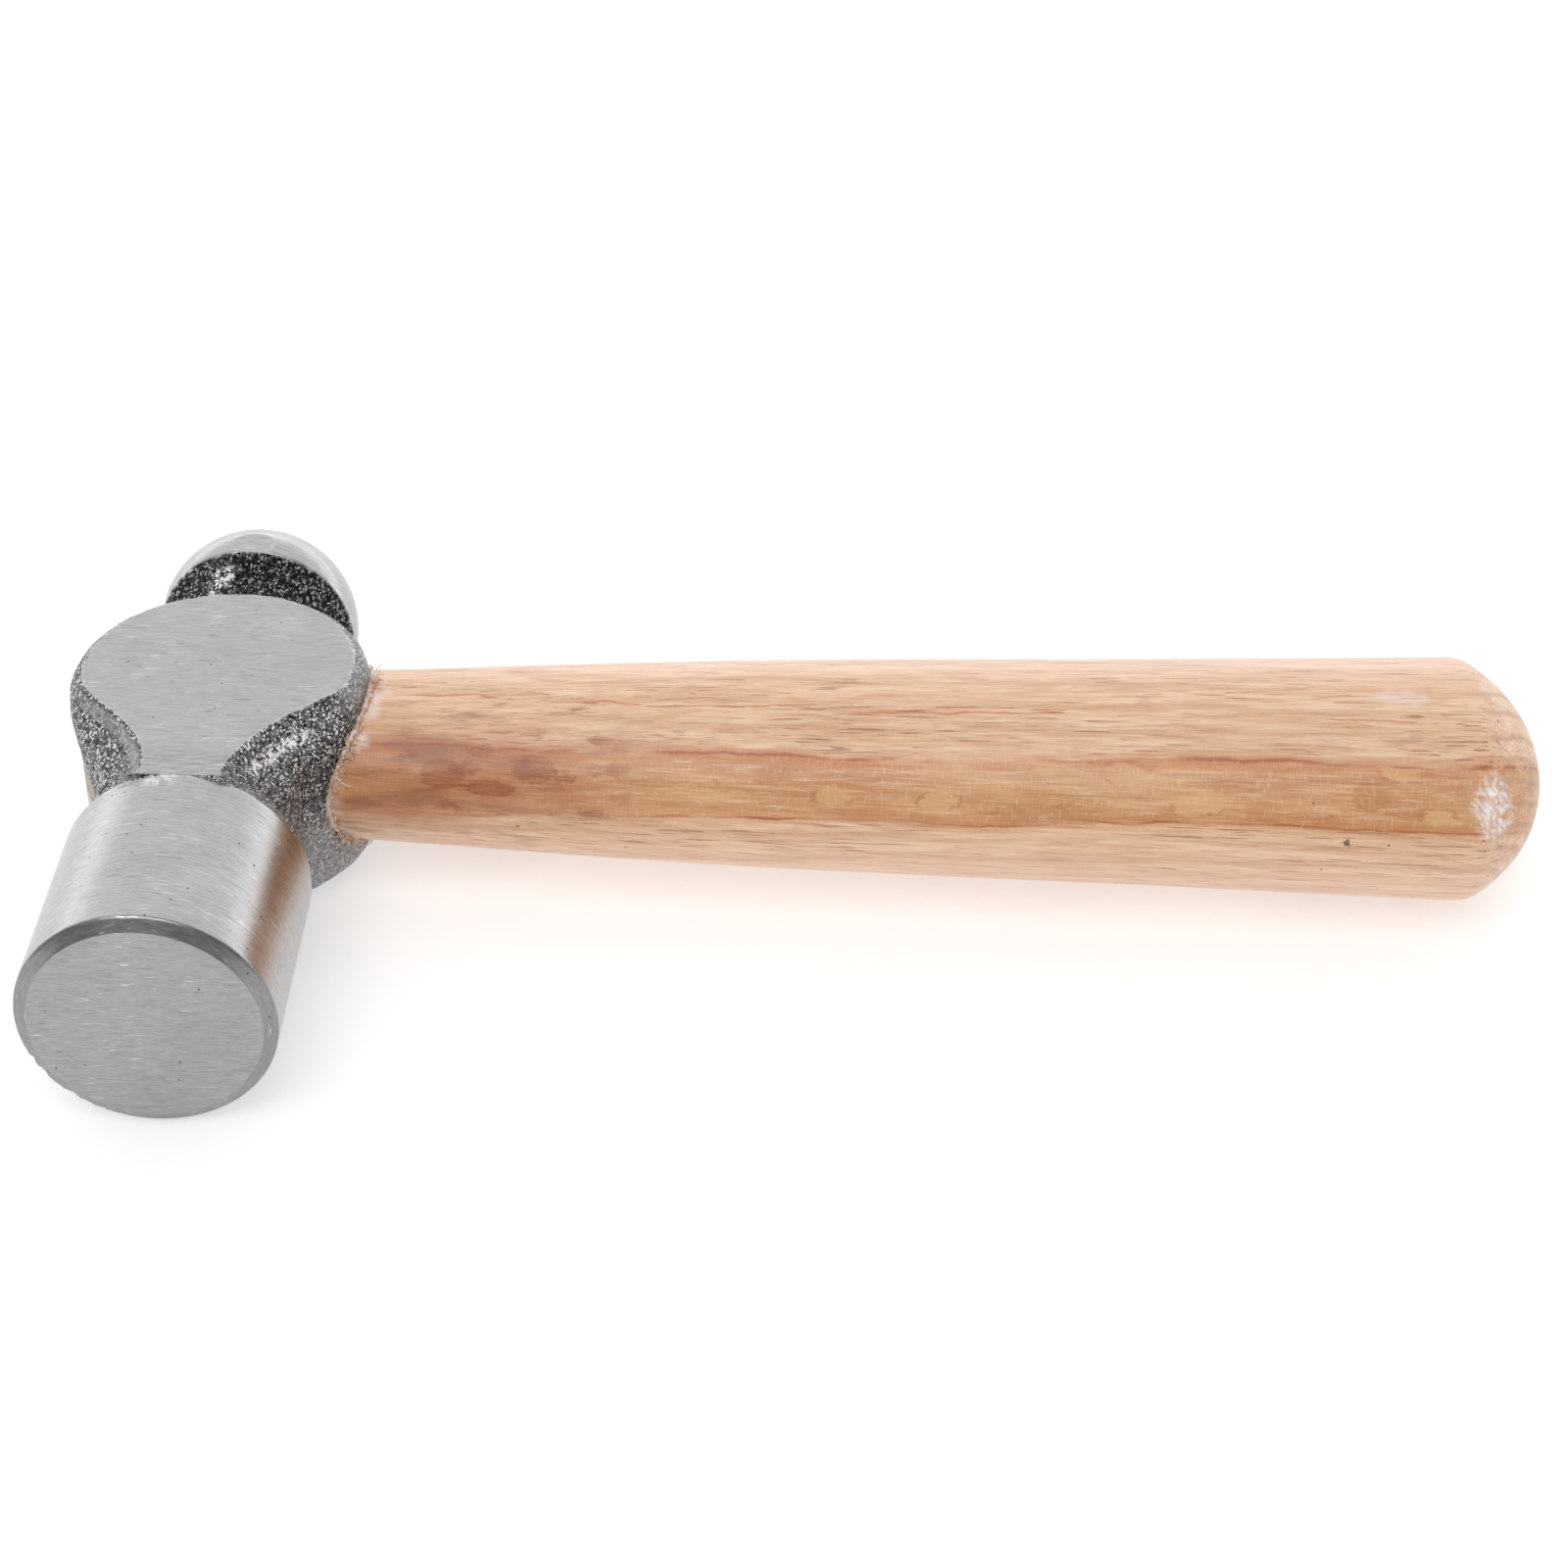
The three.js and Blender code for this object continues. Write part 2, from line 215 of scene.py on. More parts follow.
def finish_material(shader, links, values):
    """Connects what varies, and sets what is the same all over."""
    for name, wire in links.items():
        wire.tree.links.new(wire.socket, shader.inputs[name])
    for name, value in values.items():
        shader.inputs[name].default_value = value


# %% [markdown]
# Most finishes are made like paint: one colour over the whole piece, and others laid over it where a mask
# says so. A mask runs from 0, where nothing changes, to 1.

# %% Layers of colour


def layered(colour, layers):
    """Lays colours over the first one. Each layer is a mask, how strong it is, and its colour."""
    for mask, strength, over in layers:
        colour = (mask * strength).blend(colour, over)
    return colour


def grey(value, blue=0.0):
    """A grey of this brightness, as the light sees it, with a trace of blue if asked."""
    return (value, value, value + blue, 1)


# A dull dark grey, for the dark hairs and for the painted shade on the ground ramp.
DULL_AND_SHADED_STEEL = grey(0.16, 0.002)
print("dull steel is", DULL_AND_SHADED_STEEL)

# %% [markdown]
# ## Bright steel
# The poll and the ball are turned on a lathe, and the cheeks and the striking face are ground on a belt.
# All four show the lay of the tool: fine, nearly parallel scratches. A noise pattern squeezed hard in one
# direction makes such scratches. On the poll, the ball and the cheeks they are fine along Y, so they run
# round the turned parts and across the cheeks. On the face they are fine along Z.
#
# Brightness comes from the light and the scratches, so the colour only changes a little. Single scratches,
# the hairs, stand out bright or dark. A few dark specks are tiny pits left in the forging. Worn edges are
# brighter, partly from wear and partly as a painted highlight along them, and the ground ramp next to the
# poll gets painted shade, broken into streaks like coarse grinding: the mesh carries those two as painted
# values.

# %% Bright steel


def bright_steel(name, lay, tint, roughness, depth_mm):
    """Turned or ground steel. `lay` is how fine its scratches are along X, Y and Z."""
    material, shader, place = new_material(name)
    long_marks = place.stretched(*lay).noise(1.0, 3, 0.6)
    fine_marks = place.stretched(*lay).noise(1.9, 2, 0.6)
    hairs = place.stretched(*lay).noise(0.9, 1, 0.5, 0.15)
    patches = place.noise(0.13, 3, 0.6)
    speck_random = place.cells(0.6, 1).parts()[0]
    pits = place.cells(0.6, 0).fade(0.085, 0.045) * speck_random.fade(0.60, 0.64)
    # Worn edges, painted brighter as the highlight along them.
    worn_edge_highlight = place.attribute("edge") * fine_marks.fade(0.40, 0.62)
    # Painted shade on the ground ramp, broken into streaks like coarse grinding.
    ramp_shade_streaks = place.attribute("ramp") * long_marks.fade(0.33, 0.58)
    tone = long_marks * 0.55 + fine_marks * 0.45 + patches * 0.25
    dark = (tint * 0.83, tint * 0.832, tint * 0.835, 1)
    light = (tint * 1.17, tint * 1.17, tint * 1.175, 1)
    layers = (
        (hairs.fade(0.66, 0.73) * patches.fade(0.35, 0.6), 0.55, grey(0.80)),
        (hairs.fade(0.335, 0.27), 0.45, DULL_AND_SHADED_STEEL),
        (worn_edge_highlight, 1.0, grey(0.85)),
        (ramp_shade_streaks, 1.0, DULL_AND_SHADED_STEEL),
        (pits, 1.0, grey(0.03)),
    )
    colour = layered(tone.fade(0.40, 0.86).blend(dark, light), layers)
    height = long_marks + fine_marks * 0.5 - pits * 3
    gloss = long_marks * 0.16 + patches * 0.1 + (roughness - 0.13)
    links = {"Base Color": colour, "Roughness": gloss, "Normal": height.bump(depth_mm)}
    finish_material(shader, links, {"Metallic": 1.0})
    return material


turned_steel = bright_steel("turned_steel", (0.42, 4.2, 0.42), 0.43, 0.27, 0.010)
cheek_steel = bright_steel("cheek_steel", (0.38, 4.0, 0.38), 0.43, 0.35, 0.008)
face_steel = bright_steel("face_steel", (0.45, 0.45, 4.4), 0.37, 0.38, 0.008)
chamfer_steel = bright_steel("chamfer_steel", (0.6, 4.2, 0.6), 0.29, 0.34, 0.010)
print("bright steels:", turned_steel.name, cheek_steel.name, face_steel.name, chamfer_steel.name)

# %% [markdown]
# ## Raw forged steel
# The necks and the sides of the boss keep their skin from the forge: dark, grainy, and glittering where
# single grains catch the light. The large lumps are real relief in the mesh, further down. The grains are
# too small for that, so they are a bump, and cells of random brightness decide which of them are polished.
# Three values painted on the mesh change the skin. One marks where the skin is smoother, and is also painted
# paler there as a sheen; `edge` is where it is worn, painted bright as a highlight along the edge; and
# `glint` is a painted highlight on a ridge. The ball's neck is a shade darker than the rest.

# %% Raw forged steel
forged_steel, shader, place = new_material("forged_steel")
grains = place.noise(4.6, 3, 0.7)
coarse = place.noise(1.3, 2, 0.6)
glints = place.cells(4.6, 1).parts()[0]
# Smoother skin that is also painted paler, as a sheen.
rubbed = place.attribute("rubbed")
ball_neck = place.parts()[1].fade(15.0, 19.0)
depth = grains * 0.85 + coarse * 0.35 - ball_neck * 0.09
brushed = place.stretched(2.4, 1.1, 2.4).noise(1.0, 3, 0.6).fade(0.35, 0.65)
rubbed_sheen_steel = brushed.blend(grey(0.22, 0.002), grey(0.46, 0.005))
sparkle = glints.fade(0.82, 0.88) * (1 - rubbed * 0.75) * (1 - ball_neck * 0.5)
polished = place.noise(1.8, 3, 0.7).fade(0.48, 0.53)
# Painted highlights on the glint ridge and spot, where polished grains fall in them.
glint_highlights = (place.attribute("glint") * polished).maths("MINIMUM", 1.0)
layers = (
    (rubbed, 0.8, rubbed_sheen_steel),
    (sparkle, 0.85, grey(1.0)),
    (glint_highlights, 1.0, grey(0.97)),
    # Worn edges, painted bright as the highlight along them.
    (place.attribute("edge") * grains.fade(0.35, 0.6), 1.0, grey(0.9)),
)
skin = layered(depth.fade(0.51, 0.76).blend(grey(0.010, 0.001), grey(0.38, 0.005)), layers)
height = (grains + coarse * 0.6) * (1 - rubbed * 0.55)
links = {"Base Color": skin, "Roughness": 0.46 - sparkle * 0.2 - glint_highlights * 0.12}
links["Normal"] = height.bump(0.22)
finish_material(shader, links, {"Metallic": 1.0})
print("raw steel:", forged_steel.name)

# %% [markdown]
# ## Lacquered hardwood
# A tree grows in rings, and a handle is sawn with its length along them. `rise` measures the way up through
# the flat-sawn wood, `rings` the way out from the pith and `rays` the way along a ring. Where the surface
# cuts straight across the rings it shows fine parallel lines with pale ray flecks between them. Where it
# runs along them, at the top and the bottom, it shows short dark dashes: the pores, which are thin tubes
# along the handle. The same pattern is used all through the piece, so the butt shows the ends of those
# tubes without any extra work.

# %% The lie of the grain
RING_TILT = math.radians(54.8)
RING_CURVE = 34.0
HANDLE_Z = -0.25


def wood_places(place):
    """Where a point is along the handle, how far it rises, and its place in the tree as one vector."""
    along, y, z = place.parts()
    rise = y * math.cos(RING_TILT) + (z - HANDLE_Z) * math.sin(RING_TILT)
    rays = y * math.sin(RING_TILT) - (z - HANDLE_Z) * math.cos(RING_TILT)
    from_pith = ((rise + RING_CURVE).maths("POWER", 2.0) + rays.maths("POWER", 2.0)).maths("SQRT")
    rings = from_pith - RING_CURVE
    joined = place.add("ShaderNodeCombineXYZ", None, {0: along, 1: rings, 2: rays})
    return along, rise, joined


lacquered_wood, shader, place = new_material("lacquered_wood")
along, rise, inside = wood_places(place)
print("rings tilted by", round(math.degrees(RING_TILT), 1), "degrees")

# %% [markdown]
# Brown lines run the length of the handle where a ring comes to the surface. Each is where a wavy height
# passes a fixed value, so the lines never cross, and a broken noise makes them strong in some stretches and
# faint in others. Between the two strongest the wood is a shade darker. A soft halo on one side of each
# line is where the ring fades into the next.

# %% Brown lines
slow_wave = (inside.stretched(0.022, 0.05, 0.05).noise(1.0, 2, 0.5) - 0.5) * 5.0
quick_wave = (inside.stretched(0.10, 0.12, 0.12).noise(1.0, 3, 0.6) - 0.5) * 1.8
wavy = rise + slow_wave + quick_wave
upper_line = wavy - 1.2
lower_line = wavy + 6.6
between = upper_line.fade(1.6, -1.2) * lower_line.fade(-1.6, 1.2)
broken = inside.stretched(0.07, 0.5, 0.5).noise(1.0, 3, 0.6)
line_strength = broken.fade(0.36, 0.54)
upper_halo = abs(upper_line + 0.3).fade(1.4, 0.2) * (0.35 + line_strength * 0.65)
lower_halo = abs(lower_line - 0.3).fade(1.0, 0.1) * (1 - line_strength * 0.5)
upper_mark = abs(upper_line).fade(0.36, 0.04) * line_strength
side_mark = abs(upper_line - 1.3).fade(0.16, 0.02) * (1 - line_strength)
far_mark = abs(upper_line - 5.4).fade(0.20, 0.02) * broken.fade(0.52, 0.44)
lower_mark = abs(lower_line).fade(0.24, 0.03) * (1 - line_strength * 0.7)
line_layers = (
    (upper_halo, 0.72, shade(198, 120, 56)),
    (lower_halo, 0.55, shade(200, 124, 60)),
    (upper_mark, 0.88, shade(164, 82, 32)),
    (side_mark, 0.5, shade(176, 98, 48)),
    (far_mark, 0.65, shade(190, 112, 62)),
    (lower_mark, 0.80, shade(162, 82, 34)),
)
print(len(line_layers), "layers of lines")

# %% [markdown]
# The grain itself is the same noise at several widths, always squeezed across the handle and stretched
# along it. The dark side of each noise is laid over the wood in brown and the light side in cream.

# %% Grain
fibres = inside.stretched(0.16, 2.6, 2.6).noise(1.0, 4, 0.7)
streaks = inside.stretched(0.05, 0.75, 0.75).noise(1.0, 3, 0.55)
narrow_streaks = inside.stretched(0.09, 1.6, 1.6).noise(1.0, 3, 0.6)
clouds = inside.stretched(0.05, 0.14, 0.14).noise(1.0, 3, 0.55)
fine_grain = inside.stretched(0.14, 4.6, 4.6).noise(1.0, 3, 0.65)
ring_lines = (wavy * 2.4 + clouds * 6).maths("SINE")

pale = streaks.fade(0.30, 0.70).blend(shade(223, 177, 139), shade(241, 203, 170))
heart = clouds.fade(0.38, 0.62).blend(shade(216, 164, 114), shade(196, 132, 80))
heart = (streaks.fade(0.42, 0.66) * 0.5).blend(heart, shade(224, 170, 116))
grain_layers = (
    (between, 0.90, heart),
    (fine_grain.fade(0.51, 0.66), 0.32, shade(180, 118, 76)),
    (fine_grain.fade(0.47, 0.34), 0.32, shade(254, 226, 196)),
    (narrow_streaks.fade(0.54, 0.72), 0.30, shade(190, 134, 92)),
    (narrow_streaks.fade(0.44, 0.30), 0.30, shade(246, 214, 178)),
    (fibres.fade(0.53, 0.72), 0.36, shade(180, 118, 74)),
    (fibres.fade(0.45, 0.30), 0.42, shade(248, 220, 186)),
    (ring_lines.fade(0.2, 1.0), 0.20, shade(184, 130, 88)),
)
wood = layered(pale, grain_layers)
wood = layered(wood, line_layers)
print(len(grain_layers), "layers of grain")

# %% [markdown]
# In the darker band the rays show as flecks: pale or brown patches a few millimetres long with a thin rim,
# and a faint hatching across the grain. Voronoi cells stretched along the handle give their places, and a
# noise added to the distance makes their outlines ragged.

# %% Flecks
fleck_place = inside.stretched(0.13, 0.26, 0.05)
fleck_edge = inside.stretched(0.5, 1.0, 1.0).noise(0.7, 4, 0.7) * 0.42
fleck_far = fleck_place.cells(1.0, 0) + fleck_edge
fleck_rim = abs(fleck_far - 0.56).fade(0.05, 0.01) * between
fleck_tone = fleck_place.cells(1.0, 1).parts()[1]
fleck_colour = fleck_tone.fade(0.3, 0.8).blend(shade(188, 128, 78), shade(226, 178, 126))
cross_hatch = inside.stretched(4.2, 0.9, 0.9).noise(1.0, 2, 0.5).fade(0.54, 0.72)
fleck_layers = (
    (fleck_far.fade(0.58, 0.48) * between, 0.55, fleck_colour),
    (fleck_rim * broken.fade(0.46, 0.60), 0.40, shade(168, 104, 58)),
    (cross_hatch * (0.25 + between * 0.75), 0.30, shade(244, 210, 168)),
)
wood = layered(wood, fleck_layers)
print(len(fleck_layers), "layers of flecks")

# %% [markdown]
# Outside that band the surface runs along the rings, and the pores open as short dark dashes. They come in
# groups, so one noise says where the groups are and a much finer one makes the dashes.

# %% Pores
smears = inside.stretched(0.14, 0.8, 0.8).noise(1.0, 3, 0.6).fade(0.58, 0.72)
pore_field = inside.stretched(0.13, 3.6, 3.6).noise(1.0, 2, 0.45, 0.1)
pore_groups = inside.stretched(0.03, 0.35, 0.35).noise(1.0, 2, 0.5)
outside_band = 1 - between * 0.55
pores = pore_field.fade(0.61, 0.655) * pore_groups.fade(0.36, 0.60) * outside_band
pore_layers = (
    (smears * (1 - between * 0.5), 0.40, shade(184, 134, 106)),
    (pores, 0.72, shade(160, 94, 60)),
)
wood = layered(wood, pore_layers)
print(len(pore_layers), "layers of pores")

# %% [markdown]
# Next to the head the wood is darker, because lacquer soaked into it where it was bruised. The stain has
# three parts: a soft brown shade, smoky streaks, and ragged blotches, three of which are large enough to
# have places of their own, painted on the mesh as `blots`.

# %% Stain beside the head
near_head = along.fade(64.0, 26.0)
stain = near_head * (clouds.fade(0.20, 0.55) * abs(rise + 2.6 + slow_wave).fade(8.5, 3.0))
smoky = inside.stretched(0.09, 0.5, 0.5).noise(1.0, 4, 0.65).fade(0.50, 0.66) * near_head
blotch_edge = inside.stretched(0.7, 1.4, 1.4).noise(0.8, 4, 0.75) * 0.8
blotch_far = inside.stretched(0.15, 0.36, 0.10).cells(1.0, 0) + blotch_edge
blotches = blotch_far.fade(0.76, 0.60) * near_head.fade(0.15, 0.6)
blotches = blotches * (0.55 + fine_grain.fade(0.40, 0.60) * 0.45)
stain_layers = (
    (stain, 0.60, shade(174, 100, 54)),
    (smoky, 0.50, shade(134, 82, 52)),
    (blotches * abs(rise + 2.2).fade(6.0, 4.0), 0.66, shade(142, 70, 28)),
)
wood = layered(wood, stain_layers)
blot_edge = inside.stretched(0.5, 1.6, 1.6).noise(1.0, 4, 0.7) * 0.8
blots = (place.attribute("blots") + blot_edge).fade(0.82, 1.02)
blots = blots * (0.6 + fine_grain.fade(0.40, 0.60) * 0.4)
print(len(stain_layers), "layers of stain, and the blots")

# %% [markdown]
# The last layers are what lies on the wood, and one painted highlight: the wood is painted paler and pinker
# at its upper and lower limits, where those edges catch the light. A dark speck is stuck in it near the
# butt. The sawn end of the tenon is grey, rough end grain. Milky lacquer, `film`, goes over everything, and
# `drops`, the white curls of the dried drops, painted near white as the highlight on them.

# %% Ends, speck and lacquer
SPECK_PLACE = (133.2, -16.4, 1.4)
specks = inside.cells(0.55, 0).fade(0.11, 0.06) * inside.cells(0.55, 1).parts()[0].fade(0.975, 0.985)
from_speck = place.add("ShaderNodeVectorMath", {"operation": "DISTANCE"}, {0: place, 1: SPECK_PLACE}, 1)
speck = (from_speck + place.noise(1.6, 3, 0.7) * 2.4).fade(1.75, 1.55)
tube_ends = place.stretched(0.6, 2.2, 2.2).noise(1.0, 2, 0.6)
end_grain = ring_lines.fade(-0.2, 0.9).blend(shade(172, 160, 148), shade(124, 110, 98))
end_grain = tube_ends.fade(0.58, 0.66).blend(end_grain, shade(84, 72, 62))
film = place.attribute("film")
# White curls on the dried drops, painted near white as the highlight on them.
dried = place.attribute("drops")
top_layers = (
    (ring_lines.fade(0.5, 1.0) * along.fade(149.5, 151.5), 0.35, shade(176, 124, 84)),
    # Painted highlight: paler and pinker at the upper and lower limits of the handle.
    (abs(rise).fade(8.5, 13.5), 0.28, shade(243, 208, 190)),
    (specks, 1.0, shade(60, 44, 40)),
    (film, 0.74, shade(238, 216, 208)),
    (along.fade(-13.0, -14.5), 0.85, end_grain),
    (blots, 0.62, shade(148, 74, 30)),
    (speck, 0.85, shade(66, 52, 46)),
    (dried, 1.0, shade(255, 253, 252)),
)
wood = layered(wood, top_layers)
height = fibres * 0.25 - pores * 0.8 + place.noise(0.5, 2) * 0.5 + film * place.noise(1.6, 3, 0.7) * 3
links = {"Base Color": wood, "Roughness": 0.46 + fibres * 0.12 - dried * 0.25}
links["Coat Weight"] = 0.42 + film * 0.4 + dried * 0.1
links["Normal"] = height.bump(0.03)
finish_material(shader, links, {"Coat Roughness": 0.2, "Coat IOR": 1.5})
print("wood:", lacquered_wood.name)

# %% [markdown]
# ## Small finishes
# The wedge is bare wood, greyed by handling. The little steel wedges are plain mill steel. Round the mouth
# of the eye the lacquer has dried in a thin, cloudy bead full of torn wood fibres.

# %% Bare wood and mill steel
bare_wood, shader, place = new_material("bare_wood")
fibres = place.stretched(0.2, 4.0, 4.0).noise(1.0, 4, 0.6)
bands = place.stretched(0.1, 0.9, 2.2).noise(1.0, 2, 0.5)
handled = place.noise(0.8, 3, 0.6).fade(0.1, 0.6)
wood = bands.fade(0.35, 0.65).blend(shade(214, 182, 138), shade(232, 206, 166))
wood = (fibres.fade(0.5, 0.7) * 0.6).blend(wood, shade(168, 128, 88))
wood = (handled * 0.85).blend(wood, shade(174, 166, 158))
links = {"Base Color": wood, "Roughness": 0.62 + fibres * 0.2, "Normal": fibres.bump(0.08)}
finish_material(shader, links, {})

mill_steel, shader, place = new_material("mill_steel")
scale = place.noise(1.4, 4, 0.65)
strokes = place.stretched(0.4, 5.0, 0.8).noise(1.0, 3, 0.6)
steel = scale.fade(0.35, 0.7).blend(grey(0.16, 0.005), grey(0.42, 0.01))
steel = (strokes.fade(0.52, 0.7) * 0.5).blend(steel, grey(0.6))
links = {"Base Color": steel, "Roughness": 0.35 + scale * 0.3, "Normal": (scale + strokes).bump(0.05)}
finish_material(shader, links, {"Metallic": 1.0})
print("wedges:", bare_wood.name, mill_steel.name)

# %% Dried lacquer and fibres
dried_lacquer, shader, place = new_material("dried_lacquer")
cloud = place.noise(1.3, 3, 0.6)
torn = place.stretched(2.0, 5.0, 5.0).noise(1.0, 3, 0.7)
bead = cloud.fade(0.38, 0.62).blend(shade(196, 150, 120), shade(232, 214, 206))
bead = (torn.fade(0.55, 0.7) * 0.6).blend(bead, shade(150, 104, 74))
links = {"Base Color": bead, "Roughness": 0.3 + cloud * 0.3, "Normal": (torn + cloud).bump(0.12)}
finish_material(shader, links, {"Coat Weight": 0.6, "Coat Roughness": 0.12})

torn_fibre, shader, place = new_material("torn_fibre")
tone = place.noise(1.7, 2, 0.5)
links = {"Base Color": tone.fade(0.35, 0.65).blend(shade(206, 160, 118), shade(244, 226, 206))}
links["Roughness"] = 0.45 + tone * 0.3
finish_material(shader, links, {})
print("mouth of the eye:", dried_lacquer.name, torn_fibre.name)

# %% [markdown]
# ## The camera and the light
# The hammer lies on a white table and is seen from a little above, from the side of the striking face. The
# camera is placed first, so that every piece can be judged from it as it is made.

# %% Camera
CAMERA_FROM_EYE = (62.49, -276.96, 191.65)
CAMERA_RIGHT = Vector((0.9996, 0.0, 0.0269))
CAMERA_UP = Vector((-0.022, 0.5758, 0.8173))
LENS_MM = 63.73
SENSOR_MM = 36.0

camera = bpy.data.objects.new("camera", bpy.data.cameras.new("camera"))
bpy.context.scene.collection.objects.link(camera)
bpy.context.scene.camera = camera
right = CAMERA_RIGHT.normalized()
up = (CAMERA_UP - right * CAMERA_UP.dot(right)).normalized()
backward = right.cross(up)
turn = Matrix((right, up, backward)).transposed()
camera.matrix_world = Matrix.Translation(EYE + np.array(CAMERA_FROM_EYE) * MM) @ turn.to_4x4()
camera.data.sensor_width = SENSOR_MM
camera.data.lens = LENS_MM
camera.data.clip_start = 0.01
print("camera at", tuple(round(part, 4) for part in camera.location))

# %% [markdown]
# Bright steel has no colour of its own: it shows its surroundings. The white sweep behind the table gives
# the cheeks, the ball and the top of the poll their sheen. The room in front of it is dimmer, which keeps
# the chamfer dark, and the handle's own reflection makes the dark band along the poll. So the world is two
# greys, bright at the back and dim at the front. Low down at the back it is brighter still, as where a
# wall meets a lit table: that gives the narrow bright band along the poll. One soft panel overhead lights
# the wood.

# %% Light


def soft_panel(name, aim, direction, distance, width, height, radiance):
    """A square lamp, seen from the hammer in this direction, facing it."""
    lamp = bpy.data.lights.new(name, "AREA")
    lamp.shape = "RECTANGLE"
    lamp.size = width
    lamp.size_y = height
    lamp.energy = radiance * math.pi * width * height
    panel = bpy.data.objects.new(name, lamp)
    bpy.context.scene.collection.objects.link(panel)
    away = Vector(direction).normalized()
    panel.location = Vector(aim) + away * distance
    panel.rotation_euler = away.to_track_quat("Z", "Y").to_euler()
    return panel


middle = (cad_low + cad_high) / 2
soft_panel("top_panel", middle, (-0.15, -0.50, 0.85), 1.3, 1.0, 0.9, 2.9)

ROOM_FRONT = 0.30
ROOM_BACK = 1.08
ROOM_HORIZON = 1.72
world = bpy.data.worlds.new("room")
bpy.context.scene.world = world
world.use_nodes = True
background = world.node_tree.nodes["Background"]
directions = world.node_tree.nodes.new("ShaderNodeTexCoord")
direction = Wire(world.node_tree, directions.outputs["Generated"])
to_back = direction.parts()[1].fade(-0.25, 0.45)
low_down = direction.parts()[2].fade(0.33, 0.19)
room_colour = to_back.blend(grey(ROOM_FRONT), grey(ROOM_BACK))
room_colour = (to_back * low_down).blend(room_colour, grey(ROOM_HORIZON))
world.node_tree.links.new(room_colour.socket, background.inputs["Color"])
bpy.context.scene.view_settings.view_transform = "Standard"
print("room is", len(world.node_tree.nodes), "nodes")

# %% [markdown]
# The table is plain and white. A little light of its own keeps the shadows pale, as on a light table.

# %% Table
TABLE_HALF = 1.6
TABLE_GLOW = 0.50
corners = [(x * TABLE_HALF, y * TABLE_HALF, 0.0) for x, y in ((-1, -1), (1, -1), (1, 1), (-1, 1))]
table_mesh = bpy.data.meshes.new("table")
table_mesh.from_pydata(corners, [], [(0, 1, 2, 3)])
table = bpy.data.objects.new("table", table_mesh)
bpy.context.scene.collection.objects.link(table)
material, shader, place = new_material("table_white")
mottle = place.noise(0.01, 2)
links = {"Base Color": mottle.blend(grey(0.60), grey(0.63))}
finish_material(shader, links, {"Roughness": 0.6, "Specular IOR Level": 0.2})
shader.inputs["Emission Color"].default_value = grey(1.0)
shader.inputs["Emission Strength"].default_value = TABLE_GLOW
table_mesh.materials.append(material)
print("table", 2 * TABLE_HALF, "m across")

# %% [markdown]
# ## Turned bodies
# The head and the handle are both a stack of closed rings, each ring a section of the piece. The rings are
# joined with triangles, and a single point closes each end.

# %% Rings into a mesh


def stack_rings(rings, first, last):
    """Points and triangles of a closed body, from an array of rings and the point at each end."""
    count, around = rings.shape[:2]
    points = np.vstack([rings.reshape(-1, 3), [first], [last]])
    ring, step = np.meshgrid(np.arange(count - 1), np.arange(around), indexing="ij")
    here = (ring * around + step).ravel()
    beside = (ring * around + (step + 1) % around).ravel()
    near = np.stack([here, beside, beside + around], 1)
    far = np.stack([here, beside + around, here + around], 1)
    edge = np.arange(around)
    after = (edge + 1) % around
    start = np.stack([np.full(around, len(points) - 2), after, edge], 1)
    base = (count - 1) * around
    end = np.stack([np.full(around, len(points) - 1), base + edge, base + after], 1)
    return points, np.vstack([near, far, start, end])


def make_piece(name, points, faces, materials, chosen=None):
    """A smooth shaded mesh object from points in millimetres about the eye."""
    mesh = bpy.data.meshes.new(name)
    mesh.from_pydata(EYE + np.asarray(points) * MM, [], np.asarray(faces))
    for material in materials:
        mesh.materials.append(material)
    if chosen is not None:
        mesh.polygons.foreach_set("material_index", np.asarray(chosen, np.int32))
    shaped = bmesh.new()
    shaped.from_mesh(mesh)
    bmesh.ops.recalc_face_normals(shaped, faces=shaped.faces)
    shaped.to_mesh(mesh)
    shaped.free()
    mesh.shade_smooth()
    piece = bpy.data.objects.new(name, mesh)
    bpy.context.scene.collection.objects.link(piece)
    return piece


# %% [markdown]
# ## The head's shape
# Each ring of the head gives a radius for every angle round the Y axis. The middle of the head is a thick
# disc with rounded rims, the boss, and eight-sided necks run out from it to the poll and to the ball. A
# rounded minimum of flat sides gives an eight-sided neck, and a rounded maximum of neck and boss gives the
# hollow where they meet.

# %% Measures of the head
POLL_RADIUS = 14.0
SHOULDER_Y = -25.4
SEAM_Y = 26.2
BALL_Y = 28.4
BALL_RADIUS = 12.5
BALL_HEIGHT = 12.8
BALL_FULLNESS = 1.86
BOSS_X = 0.4
BOSS_RADIUS = 17.8
BOSS_HALF_HEIGHT = 13.1
BOSS_SQUARENESS = 8
WAIST_Y = -22.5
WAIST_HALF_SIDE = 11.3
WAIST_HALF_HEIGHT = 14.4
WAIST_HALF_CHEEK = 4.7
BALL_NECK_Y = 20.5
BALL_NECK_SIDE = 9.2
RAMP_START_Y = -16.0
RAMP_TOP_Z = 14.01
AROUND = 336

turns = np.linspace(0, 2 * np.pi, AROUND, endpoint=False)
cosine = np.cos(turns)
sine = np.sin(turns)
across = np.abs(cosine) + 1e-9
upwards = np.abs(sine) + 1e-9
print("each ring of the head has", AROUND, "points")

# %% [markdown]
# The ground cheek is flat over the boss. Near the poll the round of the grinding wheel lifts it in an arc,
# the ramp, which is found from its length and its rise.

